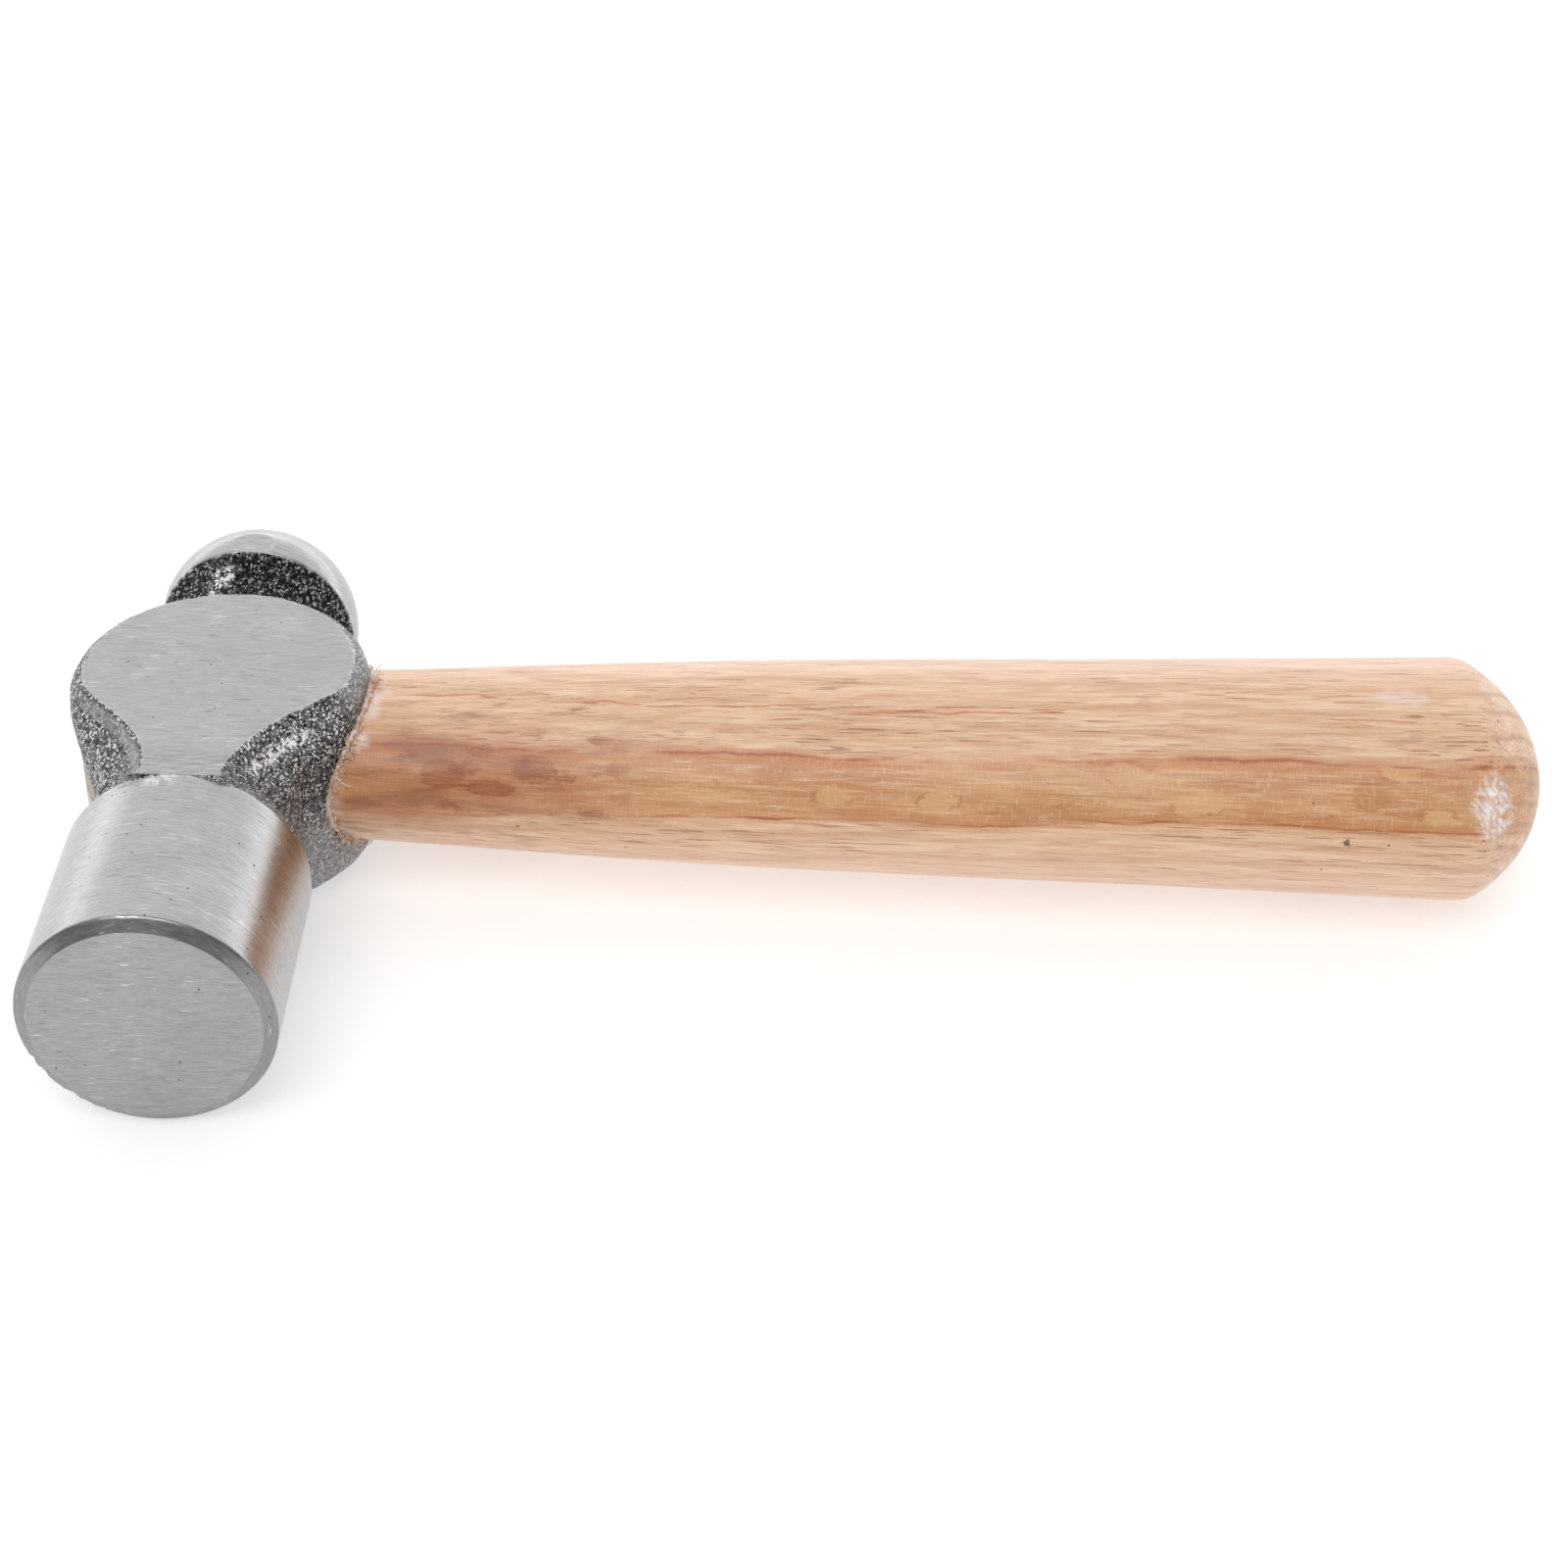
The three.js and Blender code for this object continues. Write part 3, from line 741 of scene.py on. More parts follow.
# %% The ground surface
ramp_run = RAMP_START_Y - SHOULDER_Y
ramp_rise = RAMP_TOP_Z - CHEEK_Z
RAMP_RADIUS = (ramp_run**2 + ramp_rise**2) / (2 * ramp_rise)


def ground_height(y):
    """Height of the ground cheek: flat, then climbing in a hollow arc to the shoulder."""
    back = np.clip(RAMP_START_Y - y, 0, ramp_run)
    return CHEEK_Z + RAMP_RADIUS - np.sqrt(RAMP_RADIUS**2 - back**2)


print("ramp", round(ramp_run, 2), "mm long on an arc of", round(float(RAMP_RADIUS), 1), "mm")

# %% Radii of the boss


def rounded_least(radii, crispness=36):
    """The smallest of the radii at each angle, with the corner between two of them rounded."""
    return sum(radius**-crispness for radius in radii) ** (-1 / crispness)


def filleted_most(radii, tightness=18):
    """The largest of the radii at each angle, with the hollow between two of them filled a little."""
    return sum(radius**tightness for radius in radii) ** (1 / tightness)


def boss_radius(y):
    """Out to the boss's surface at each angle, found by halving a range again and again."""
    low = np.zeros(AROUND)
    high = np.full(AROUND, BOSS_RADIUS + BOSS_HALF_HEIGHT if abs(y) < BOSS_RADIUS else 0.0)
    for _ in range(36):
        middle = (low + high) / 2
        out = np.hypot(middle * cosine - BOSS_X, y) / BOSS_RADIUS
        high_up = middle * upwards / BOSS_HALF_HEIGHT
        inside = out**BOSS_SQUARENESS + high_up**BOSS_SQUARENESS < 1
        low = np.where(inside, middle, low)
        high = np.where(inside, high, middle)
    return low


print("boss reaches", round(float(boss_radius(0.0).max()), 2), "mm from the axis")

# %% [markdown]
# The poll's neck is narrowest just behind the poll, at the waist. Its slanting sides leave a cheek that
# widens both ways from there, a little faster underneath. Right at the shoulder the lathe that turned the
# poll has also taken off whatever stood out past it.

# %% Radii of the poll's neck
SIDE_FLARE = 0.004
CHEEK_FLARE_TO_POLL = 0.06
CHEEK_FLARE_TO_BOSS = 0.0375
LOWER_CHEEK_FLARE_TO_BOSS = 0.0566
LATHE_SLOPE = 4


def poll_neck_radius(y):
    """Out to the surface between poll and boss, at each angle."""
    from_waist = (y - WAIST_Y) ** 2
    side = WAIST_HALF_SIDE + SIDE_FLARE * from_waist
    to_boss = np.where(sine < 0, LOWER_CHEEK_FLARE_TO_BOSS, CHEEK_FLARE_TO_BOSS)
    flare = CHEEK_FLARE_TO_POLL if y < WAIST_Y else to_boss
    corner = WAIST_HALF_CHEEK + flare * from_waist + ground_height(y)
    core = rounded_least([side / across, WAIST_HALF_HEIGHT / upwards])
    body = filleted_most([core, boss_radius(y)])
    turned_off = POLL_RADIUS + LATHE_SLOPE * (y - SHOULDER_Y)
    return np.minimum(rounded_least([body, corner / (across + upwards)]), turned_off)


print("waist", round(2 * float(poll_neck_radius(WAIST_Y)[0]), 2), "mm wide")

# %% [markdown]
# The ball is not quite a sphere: its outline is a superellipse, drawn a little slimmer than an ellipse. Its
# neck is eight-sided next to the boss and becomes round as it nears the ball, which starts at a seam.

# %% Radii of the ball and its neck
NECK_FLARE = 0.035
NECK_FLARE_REACH = 8.0


def ball_outline(latitude):
    """Place along Y and radius of the ball at this latitude."""
    power = 2 / BALL_FULLNESS
    rise = np.sign(latitude) * np.abs(np.sin(latitude)) ** power
    return BALL_Y + BALL_HEIGHT * rise, BALL_RADIUS * np.cos(latitude) ** power


seam_latitude = -math.asin(((BALL_Y - SEAM_Y) / BALL_HEIGHT) ** (BALL_FULLNESS / 2))
SEAM_RADIUS = float(ball_outline(seam_latitude)[1])


def ball_neck_radius(y):
    """Out to the surface between boss and ball, at each angle."""
    to_ball = max(0.0, (y - BALL_NECK_Y) / (SEAM_Y - BALL_NECK_Y)) ** 2
    to_boss = min(max(BALL_NECK_Y - y, 0.0), NECK_FLARE_REACH)
    side = BALL_NECK_SIDE + (SEAM_RADIUS - BALL_NECK_SIDE) * to_ball + NECK_FLARE * to_boss**2
    eight = rounded_least([side / across, side / upwards, math.sqrt(2) * side / (across + upwards)])
    core = eight * (1 - to_ball) + side * to_ball
    return filleted_most([core, boss_radius(y)])


print("ball meets its neck at", round(SEAM_RADIUS, 2), "mm from the axis")

# %% [markdown]
# Now the stack of rings. A sharp machined edge is never perfectly sharp, so the rims of the striking face
# and of the shoulder get a few close rings that round them by a tenth or two of a millimetre. Those thin
# rounded edges catch the light, which is what makes steel look like steel.

# %% Rings of the poll
sections = []


def ring(y, radius, kind):
    """Adds a ring. Its kind is the finish of the band between it and the next one."""
    sections.append((y, np.broadcast_to(radius, AROUND).astype(float), kind))


FACE, CHAMFER, TURNED, RAW, CHEEK = range(5)
for radius in (2, 5, 8, 10.5, 11.8, 12.3):
    ring(FACE_Y, radius, FACE)
for radius, inwards in ((12.42, 0.008), (12.52, 0.04), (12.60, 0.10)):
    ring(FACE_Y + inwards, radius, FACE if inwards < 0.02 else CHAMFER)
for radius, inwards in ((12.9, 0.27), (13.3, 0.50), (13.7, 0.73), (13.88, 0.85), (13.96, 0.95)):
    ring(FACE_Y + inwards, radius, CHAMFER)
ring(FACE_Y + 1.1, POLL_RADIUS - 0.005, TURNED)
for y in np.linspace(FACE_Y + 1.4, SHOULDER_Y - 0.6, 34):
    ring(y, POLL_RADIUS, TURNED)
print(len(sections), "rings so far")

# %% [markdown]
# At the shoulder the poll steps down to its neck. Where the neck comes nearly out to the poll, at the
# cheeks, the ramp runs on into it, so the rim is only rounded where it stands free.

# %% Rings of the shoulder, the necks and the ball
neck_start = poll_neck_radius(SHOULDER_Y)
free_rim = np.where(neck_start > POLL_RADIUS - 0.3, 0.1, 1.0)
for inwards, drop in ((0.35, 0.0), (0.18, 0.012), (0.08, 0.05), (0.02, 0.12)):
    ring(SHOULDER_Y - inwards, POLL_RADIUS - drop * free_rim, TURNED)
ring(SHOULDER_Y, np.maximum(POLL_RADIUS - 0.2 * free_rim, neck_start), RAW)
ring(SHOULDER_Y + 0.03, neck_start, RAW)
for y in np.linspace(SHOULDER_Y + 0.25, 0, 104):
    ring(y, poll_neck_radius(y), RAW)
for y in np.linspace(0, SEAM_Y - 0.25, 96)[1:]:
    ring(y, ball_neck_radius(y), RAW)
ring(SEAM_Y - 0.06, SEAM_RADIUS - 0.16, RAW)
ring(SEAM_Y, SEAM_RADIUS - 0.03, TURNED)
for latitude in np.linspace(seam_latitude, math.pi / 2, 34)[1:-1]:
    y, radius = ball_outline(latitude)
    ring(float(y), float(radius), TURNED)
print(len(sections), "rings of", AROUND, "points")

# %% [markdown]
# The raw parts get their relief here: shallow lumps and hollows from the forging die, and a flash line down
# the ball's neck where the two halves of the die met. Three sizes of noise added together look like forged
# skin, where one alone would look like waves. All of it goes inwards, or stays well inside the solid's own
# box.

# %% Relief of the forged skin


def cloudy(points, scale, seed):
    """Noise from -1 to 1 at each point, with lumps about 1 / scale millimetres across."""
    shift = Vector((seed * 17.3, seed * 5.1, seed * 9.7))
    return np.array([noise.noise(Vector(point) * scale + shift) for point in points])


def smooth_step(value, start, end):
    """0 at start, 1 at end, smooth between them: what `fade` is in a material."""
    share = np.clip((value - start) / (end - start), 0, 1)
    return share * share * (3 - 2 * share)


heights = np.array([y for y, _, _ in sections])
radii = np.array([radius for _, radius, _ in sections])
kinds = np.array([kind for _, _, kind in sections])
rings = np.stack([radii * cosine, np.repeat(heights[:, None], AROUND, 1), radii * sine], 2)
degrees = np.degrees(turns)

raw_rows = np.where((kinds == RAW) & (heights > SHOULDER_Y + 0.02) & (heights < SEAM_Y - 0.03))[0]
raw_points = rings[raw_rows].reshape(-1, 3)
lumps = cloudy(raw_points, 0.35, 1) * 0.10 + cloudy(raw_points, 1.0, 2) * 0.055
lumps = lumps + cloudy(raw_points, 2.4, 3) * 0.035
relief = (lumps - 0.10).reshape(len(raw_rows), AROUND)
rows_y = heights[raw_rows][:, None]
relief = relief * smooth_step(rows_y, SHOULDER_Y, SHOULDER_Y + 1.5)
relief = relief * smooth_step(rows_y, SEAM_Y, SEAM_Y - 1.2)
FLASH_DEGREES = 88
flash_line = np.exp(-(((degrees - FLASH_DEGREES + 3 * np.sin(rows_y * 1.3)) / 1.6) ** 2))
relief = relief + 0.22 * flash_line * smooth_step(rows_y, 18.0, 20.0) * smooth_step(rows_y, 26.0, 24.0)
print("deepest relief", round(float(-relief.min()), 3), "mm")

# %% [markdown]
# The grinder has pushed up a small burr on top of the shoulder's rim, on the side away from the handle. It
# must not rise past the top of the poll, so it is clipped there. The lower part of the chamfer has been
# knocked about.

# %% Burr and knocks
burr_rows = np.where((heights < SHOULDER_Y + 0.01) & (heights > SHOULDER_Y - 0.5))[0]
burr_span = smooth_step(degrees, 90, 96) * smooth_step(degrees, 122, 112)
burr = np.abs(cloudy(rings[burr_rows].reshape(-1, 3), 1.6, 5)).reshape(len(burr_rows), AROUND)

knock_rows = np.where(heights < FACE_Y + 1.5)[0]
knock_points = rings[knock_rows].reshape(-1, 3)
knock_span = smooth_step(degrees, 196, 206) * smooth_step(degrees, 262, 240)
knocks = np.maximum(cloudy(knock_points, 0.9, 6), 0) * 0.5 + np.maximum(cloudy(knock_points, 2.6, 7), 0) * 0.3
knocks = knocks.reshape(len(knock_rows), AROUND) * smooth_step(radii[knock_rows], 12.0, 12.6)

radii[raw_rows] += relief
radii[burr_rows] += 0.55 * burr * burr_span
radii[burr_rows] = np.minimum(radii[burr_rows], (POLL_RADIUS - 0.01) / upwards)
radii[knock_rows] -= knocks * knock_span
rings = np.stack([radii * cosine, np.repeat(heights[:, None], AROUND, 1), radii * sine], 2)
points, faces = stack_rings(rings, (0, FACE_Y, 0), (0, BALL_Y + BALL_HEIGHT, 0))
side_kinds = np.repeat(kinds[:-1], AROUND)
chosen = np.concatenate([side_kinds, side_kinds, np.full(AROUND, FACE), np.full(AROUND, TURNED)])
print("deepest knock", round(float((knocks * knock_span).max()), 3), "mm;", len(faces), "triangles")

# %% [markdown]
# ## Grinding the cheeks
# The grinder takes a flat off the top and the bottom of the boss and climbs in a short hollow ramp to the
# poll. On a dense mesh that is simple: every triangle that crosses the ground surface is split exactly on
# it, and every point above it is dropped straight down onto it. The edge between raw and ground steel comes
# out crisp, and follows each lump of the raw skin.

# %% Grinding the cheeks


def split_faces(points, faces, field, chosen):
    """Splits each triangle that crosses field = 0. Returns the points, triangles, kinds and field."""
    above = field[faces] < 0
    mixed = above.any(1) & ~above.all(1)
    crossing = faces[mixed]
    sides = above[mixed]
    lone = np.where(sides.sum(1) == 1, sides.argmax(1), (~sides).argmax(1))
    rows = np.arange(len(crossing))
    a, b, c = (crossing[rows, (lone + k) % 3] for k in range(3))
    pairs = np.sort(np.vstack([np.stack([a, b], 1), np.stack([a, c], 1)]), 1)
    unique, index = np.unique(pairs, axis=0, return_inverse=True)
    index = index.reshape(-1)
    share = field[unique[:, 0]] / (field[unique[:, 0]] - field[unique[:, 1]])
    new = points[unique[:, 0]] + share[:, None] * (points[unique[:, 1]] - points[unique[:, 0]])
    p = len(points) + index[: len(a)]
    q = len(points) + index[len(a) :]
    kinds_here = chosen[mixed]
    lone_above = sides.sum(1) == 1
    pieces = [np.stack([a, p, q], 1), np.stack([p, b, c], 1), np.stack([p, c, q], 1)]
    flags = [lone_above, ~lone_above, ~lone_above]
    all_faces = np.vstack([faces[~mixed], *pieces])
    all_above = np.concatenate([above[~mixed].all(1), *flags])
    all_kinds = np.concatenate([chosen[~mixed], kinds_here, kinds_here, kinds_here])
    all_points = np.vstack([points, new])
    return all_points, all_faces, all_kinds, np.concatenate([field, np.zeros(len(new))]), all_above


field = ground_height(points[:, 1]) - np.abs(points[:, 2])
field[points[:, 1] < SHOULDER_Y - 0.01] = 1.0
points, faces, chosen, field, ground = split_faces(points, faces, field, chosen)
rim = points[field == 0]
chosen[ground] = CHEEK
below = field < 0
points[below, 2] = np.sign(points[below, 2]) * ground_height(points[below, 1])
head_materials = [face_steel, chamfer_steel, turned_steel, forged_steel, cheek_steel]
head = make_piece("hammer_head", points, faces, head_materials, chosen)
print(len(faces), "triangles,", int(ground.sum()), "of them ground,", len(rim), "points on the edge")

# %% [markdown]
# ## The eye
# The eye is an oval hole, a little wider at both ends than in the middle, so that the wedges can spread the
# wood and lock it. A cutter of that shape is taken away from the head.

# %% The eye
OVAL = 0.81
EYE_WAIST = 10.9
CUTTER_REACH = 23


def eye_half_width(x):
    """Half the eye's width along Y, at a place along the handle."""
    return EYE_WAIST + np.where(x > 0, 1.3, 0.8) * (x / 18) ** 2


def oval_rings(xs, half_widths, around):
    """Oval rings about the handle's axis. Each ring's x may change round it."""
    spins = np.linspace(0, 2 * np.pi, around, endpoint=False)
    wide = np.broadcast_to(np.asarray(half_widths).reshape(len(xs), -1), (len(xs), around))
    x = np.broadcast_to(np.asarray(xs).reshape(len(xs), -1), (len(xs), around))
    return np.stack([x, wide * np.cos(spins), HANDLE_Z + OVAL * wide * np.sin(spins)], 2)


def carve(piece, cutter):
    """Cuts the cutter out of the piece and removes it."""
    modifier = piece.modifiers.new("cut", "BOOLEAN")
    modifier.operation = "DIFFERENCE"
    modifier.solver = "MANIFOLD"
    modifier.object = cutter
    evaluated = piece.evaluated_get(bpy.context.evaluated_depsgraph_get())
    cut = bpy.data.meshes.new_from_object(evaluated)
    piece.modifiers.clear()
    piece.data = cut
    bpy.data.objects.remove(cutter)


cut_x = np.linspace(-CUTTER_REACH, CUTTER_REACH, 40)
cut_ends = [(x, 0, HANDLE_Z) for x in (-CUTTER_REACH, CUTTER_REACH)]
cut_points, cut_faces = stack_rings(oval_rings(cut_x, eye_half_width(cut_x), 180), *cut_ends)
carve(head, make_piece("eye_cutter", cut_points, cut_faces, [forged_steel]))
print("head has", len(head.data.polygons), "faces after the eye is cut")

# %% [markdown]
# The last step on the head is to paint four values on its points, for the materials to use. First comes
# `edge`, where handling has polished the steel and a highlight is painted along the edge: along the rim of
# the ground cheeks, on the seam of the ball, on the shoulder, and on the crumbs of the burr. The rim is a
# list of points, so the distance to it comes from a search tree.

# %% Worn edges of the head, with painted highlight


def millimetres(mesh):
    """A mesh's points, in millimetres about the eye."""
    flat = np.zeros(len(mesh.vertices) * 3)
    mesh.vertices.foreach_get("co", flat)
    return (flat.reshape(-1, 3) - EYE) / MM


place_mm = millimetres(head.data)
tree = kdtree.KDTree(len(rim))
for index, point in enumerate(rim):
    tree.insert(point, index)
tree.balance()
to_rim = np.array([tree.find(point)[2] for point in place_mm])
x, y, z = place_mm.T
ragged = cloudy(place_mm, 0.9, 11) * 0.5 + cloudy(place_mm, 2.3, 12) * 0.5
edge = smooth_step(to_rim, 0.24, 0.04) * smooth_step(ragged, -0.2, 0.25) * 0.8
seam = smooth_step(np.abs(y - SEAM_Y), 0.18, 0.03) * smooth_step(ragged, -0.1, 0.2)
shoulder = smooth_step(np.abs(y - SHOULDER_Y + 0.1), 0.22, 0.06) * smooth_step(np.hypot(x, z), 13.0, 13.7)
edge = np.clip(edge + 0.9 * seam + 0.5 * shoulder, 0, 1)
crumbs = smooth_step(np.abs(y - SHOULDER_Y + 0.7), 0.9, 0.4) * (z > 0)
crumbs = crumbs * smooth_step(np.abs(x + 1.7), 2.4, 1.3)
edge = np.maximum(edge, 1.6 * crumbs * smooth_step(cloudy(place_mm, 2.2, 13), -0.15, 0.10))
print("edges worn on", int((edge > 0.5).sum()), "of", len(edge), "points")

# %% [markdown]
# Next is the smoother raw skin, also painted paler as a sheen: a band beside the cheek, the slope next to the
# shoulder, the lower half on the handle's side, and the rim of the boss over the handle. `glint` is a painted
# highlight, on a ridge beside the cheek and on a spot on the ball's neck. `ramp` is painted shade on the
# ground ramp, broken into streaks like coarse grinding.

# %% Smoother skin painted with sheen, painted glints and the ramp's painted shade


def paint(mesh, name, values):
    """Stores one value for each point, for a material to read."""
    layer = mesh.attributes.new(name, "FLOAT", "POINT")
    layer.data.foreach_set("value", np.asarray(values, np.float32))


# Smoother skin, painted paler as a sheen, in four zones.
left_band = smooth_step(to_rim, 0.4, 0.8) * smooth_step(to_rim, 2.4 + ragged, 1.8 + ragged)
left_band = left_band * (x < 0) * (z > 0) * smooth_step(y, -3, -9)
near_shoulder = smooth_step(y, -21.5 + ragged, -23.5 + ragged) * smooth_step(to_rim, 2.5, 4.0) * (x > 0)
low_side = smooth_step(z, 2.5 + 2 * ragged, -4.0 + 2 * ragged) * 0.8 * (x > 0)
boss_rim = smooth_step(x, 14.0, 15.6) * smooth_step(z, 6.0, 8.5) * smooth_step(y, -8.0, -4.0) * 0.65
rubbed = np.clip(np.maximum.reduce([left_band, near_shoulder, low_side, boss_rim]), 0, 1)
# Painted highlight along a ridge beside the cheek; below it, a painted highlight on the ball's neck.
ridge = 1.5 * smooth_step(np.abs(to_rim - 3.0 - 0.8 * ragged), 0.9, 0.3) * (x > 4) * (z > 3)
ridge = ridge * smooth_step(y, -21.0, -18.0) * smooth_step(y, -9.0, -12.0)
turned_by = np.degrees(np.arctan2(z, x)) - 112 + 9 * ragged + 3 * (y - 23)
ball_glint = 1.7 * smooth_step(np.abs(turned_by), 9, 4) * smooth_step(np.abs(y - 23 + ragged), 2.5, 1.0)
# Painted shade on the ground ramp next to the shoulder, which the steel turns darker.
ramp = 0.75 * smooth_step(y, RAMP_START_Y, SHOULDER_Y + 4) * (y > SHOULDER_Y - 0.01)
painted = (("edge", edge), ("rubbed", rubbed), ("glint", ridge + ball_glint), ("ramp", ramp))
for name, values in painted:
    paint(head.data, name, values)
    print(name, "reaches", round(float(values.max()), 2))

# %% [markdown]
# Smooth shading rounds every edge that it crosses. The crisp ones, such as the rim of the ground cheek, are
# marked sharp, so that it stops there. The count of open edges shows that the body is closed.

# %% Crisp edges


def mark_crisp(piece, bend_degrees, borders=()):
    """Marks edges that bend more than this, or lie between two finishes, and counts the open ones."""
    marked = bmesh.new()
    marked.from_mesh(piece.data)
    open_edges = 0
    for line in marked.edges:
        meeting = {face.material_index for face in line.link_faces}
        line.smooth = meeting not in borders and line.calc_face_angle(0) < math.radians(bend_degrees)
        open_edges += len(line.link_faces) != 2
    marked.to_mesh(piece.data)
    marked.free()
    return open_edges


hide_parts("head")
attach(head, "root")
open_edges = mark_crisp(head, 62, [{RAW, CHEEK}])
print("head:", len(head.data.polygons), "faces,", open_edges, "open edges")

# %% [markdown]
# ## The handle
# The handle is turned to a slightly fat oval: its thickness is four fifths of its width. It swells from the
# head to the butt, which is domed, and its front end, the tenon, fills the eye and is cut off round, flush
# with the boss. Its side view is a smooth curve through four stations.

# %% Outline of the grip
GRIP = [(16, 11.6), (60, 14.3), (110, 15.8), (149.8, 17.05)]
BUTT_TIP_X = 159.1
TENON_END_RADIUS = 17.1
GAP = 0.3


def grip_outline():
    """The grip's half widths, on the same curve through the four stations as the solid's."""
    knots = [GRIP[0], *GRIP, GRIP[-1]]
    found = []
    for k in range(1, len(knots) - 2):
        before, start, end, after = (np.array(knots[k + step], float) for step in (-1, 0, 1, 2))
        leave = (end - before) / 2
        arrive = (after - start) / 2
        for t in np.linspace(0, 1, 60, endpoint=False)[:, None]:
            cubic = (2 * start - 2 * end + leave + arrive) * t**3
            square = (-3 * start + 3 * end - 2 * leave - arrive) * t**2
            found.append(cubic + square + leave * t + start)
    return np.vstack([*found, GRIP[-1]])


outline = grip_outline()
rim_x, rim_half = GRIP[-1]
cap_depth = BUTT_TIP_X - rim_x
cap_radius = (cap_depth**2 + rim_half**2) / (2 * cap_depth)
cap = np.linspace(math.asin(rim_half / cap_radius), 0, 200)[1:]
cap_line = np.stack([BUTT_TIP_X - cap_radius * (1 - np.cos(cap)), cap_radius * np.sin(cap)], 1)
whole = np.vstack([outline, cap_line])
print("domed butt on an arc of", round(cap_radius, 1), "mm")

# %% [markdown]
# Where the grip meets the dome the solid has a corner. Sandpaper has rounded it on the real piece, so the
# outline is measured off in even steps and averaged there with its neighbours, near ones counting most.

# %% Softened rim of the butt
SOFTEN_MM = 0.8
length = np.concatenate([[0], np.cumsum(np.hypot(*np.diff(whole, axis=0).T))])
fine = np.linspace(0, length[-1], 2400)
even = np.stack([np.interp(fine, length, whole[:, k]) for k in range(2)], 1)
window = np.exp(-((np.linspace(-3, 3, 61)) ** 2) / 2)
spread = np.arange(-30, 31) * SOFTEN_MM / 10
softened = even.copy()
for row in np.where(np.abs(even[:, 0] - rim_x) < 4)[0]:
    at = fine[row] + spread
    softened[row] = [np.average(np.interp(at, fine, even[:, k]), weights=window) for k in range(2)]
print("handle outline", round(float(length[-1]), 1), "mm long, rim softened over", SOFTEN_MM, "mm")

# %% Rings of the handle
HANDLE_AROUND = 224
spins = np.linspace(0, 2 * np.pi, HANDLE_AROUND, endpoint=False)
end_half = float(eye_half_width(np.array(-15.0))) - GAP


def tenon_end(y):
    """Where the tenon stops, so that it follows the round of the boss."""
    return BOSS_X - np.sqrt(TENON_END_RADIUS**2 - y**2)


handle_rings = []


def handle_ring(x, half_width):
    """Adds one oval ring of the handle."""
    handle_rings.append(oval_rings([x], [half_width], HANDLE_AROUND)[0])


for share in (0.12, 0.3, 0.5, 0.7, 0.85, 0.95, 0.985):
    handle_ring(tenon_end(end_half * share * np.cos(spins)), end_half * share)
for share in np.linspace(0, 1, 26)[:-1]:
    x = (1 - share) * tenon_end(end_half * np.cos(spins)) + share * GRIP[0][0]
    handle_ring(x, eye_half_width(x) - GAP)
for x in np.concatenate([np.linspace(16, 140, 125)[:-1], np.linspace(140, 148, 18)[:-1]]):
    handle_ring(x, np.interp(x, even[:, 0], even[:, 1]))
for row in np.searchsorted(fine, np.arange(np.interp(148, even[:, 0], fine), fine[-1] - 0.3, 0.34)):
    handle_ring(*softened[row])
handle_ends = [(float(tenon_end(0.0)), 0, HANDLE_Z), (BUTT_TIP_X, 0, HANDLE_Z)]
points, faces = stack_rings(np.array(handle_rings), *handle_ends)
print("handle:", len(handle_rings), "rings of", HANDLE_AROUND, "points")

# %% [markdown]
# Hand sanding leaves the grip a little uneven, always inwards. Drops of lacquer have dried on the rim of the
# butt, and stand up to nearly a millimetre proud of it.

# %% Mesh of the handle
DROP_PLACE = np.array([150.4, -14.6, 5.8])
DROP_STRETCH = (0.9, 0.75, 0.5)
from_axis = points - np.stack([points[:, 0], 0 * points[:, 0], np.full(len(points), HANDLE_Z)], 1)
outward = from_axis / np.maximum(np.linalg.norm(from_axis, axis=1), 1e-6)[:, None]
on_grip = smooth_step(points[:, 0], 17, 26)
uneven = cloudy(points * (0.5, 1, 1), 0.07, 21) * 0.10 + cloudy(points * (0.3, 1, 1), 0.3, 22) * 0.03
sanded = (uneven - 0.13) * on_grip * smooth_step(points[:, 0], 158, 152)
points = points + outward * sanded[:, None]

drop_far = np.linalg.norm((points - DROP_PLACE) * DROP_STRETCH, axis=1)
drop_lumps = np.maximum(cloudy(points, 0.8, 23), 0) + 0.9 * np.maximum(cloudy(points, 1.9, 24) - 0.05, 0)
drops = 0.75 * drop_lumps * smooth_step(drop_far, 3.8, 1.0)
points = points + outward * drops[:, None]
handle = make_piece("hammer_handle", points, faces, [lacquered_wood])
print("handle:", len(faces), "triangles, drops up to", round(float(drops.max()), 2), "mm")

# %% [markdown]
# A saw kerf runs down the tenon, and the wooden wedge opens it. Two steel wedges are driven across the
# wooden one. Each slot is cut with the wedge's own shape, a hair larger.

# %% Slots for the wedges
WOOD_WEDGE = dict(length=21, thick=3.2, thin=0.9)
STEEL_WEDGE = dict(length=13, thick=2.4, thin=0.8)
STEEL_WEDGE_WIDTH = 11
STEEL_WEDGE_Y = 4.6
KERF_DEPTH = 25
KERF_WIDTH = 0.9
RIGHT_ACROSS = 40


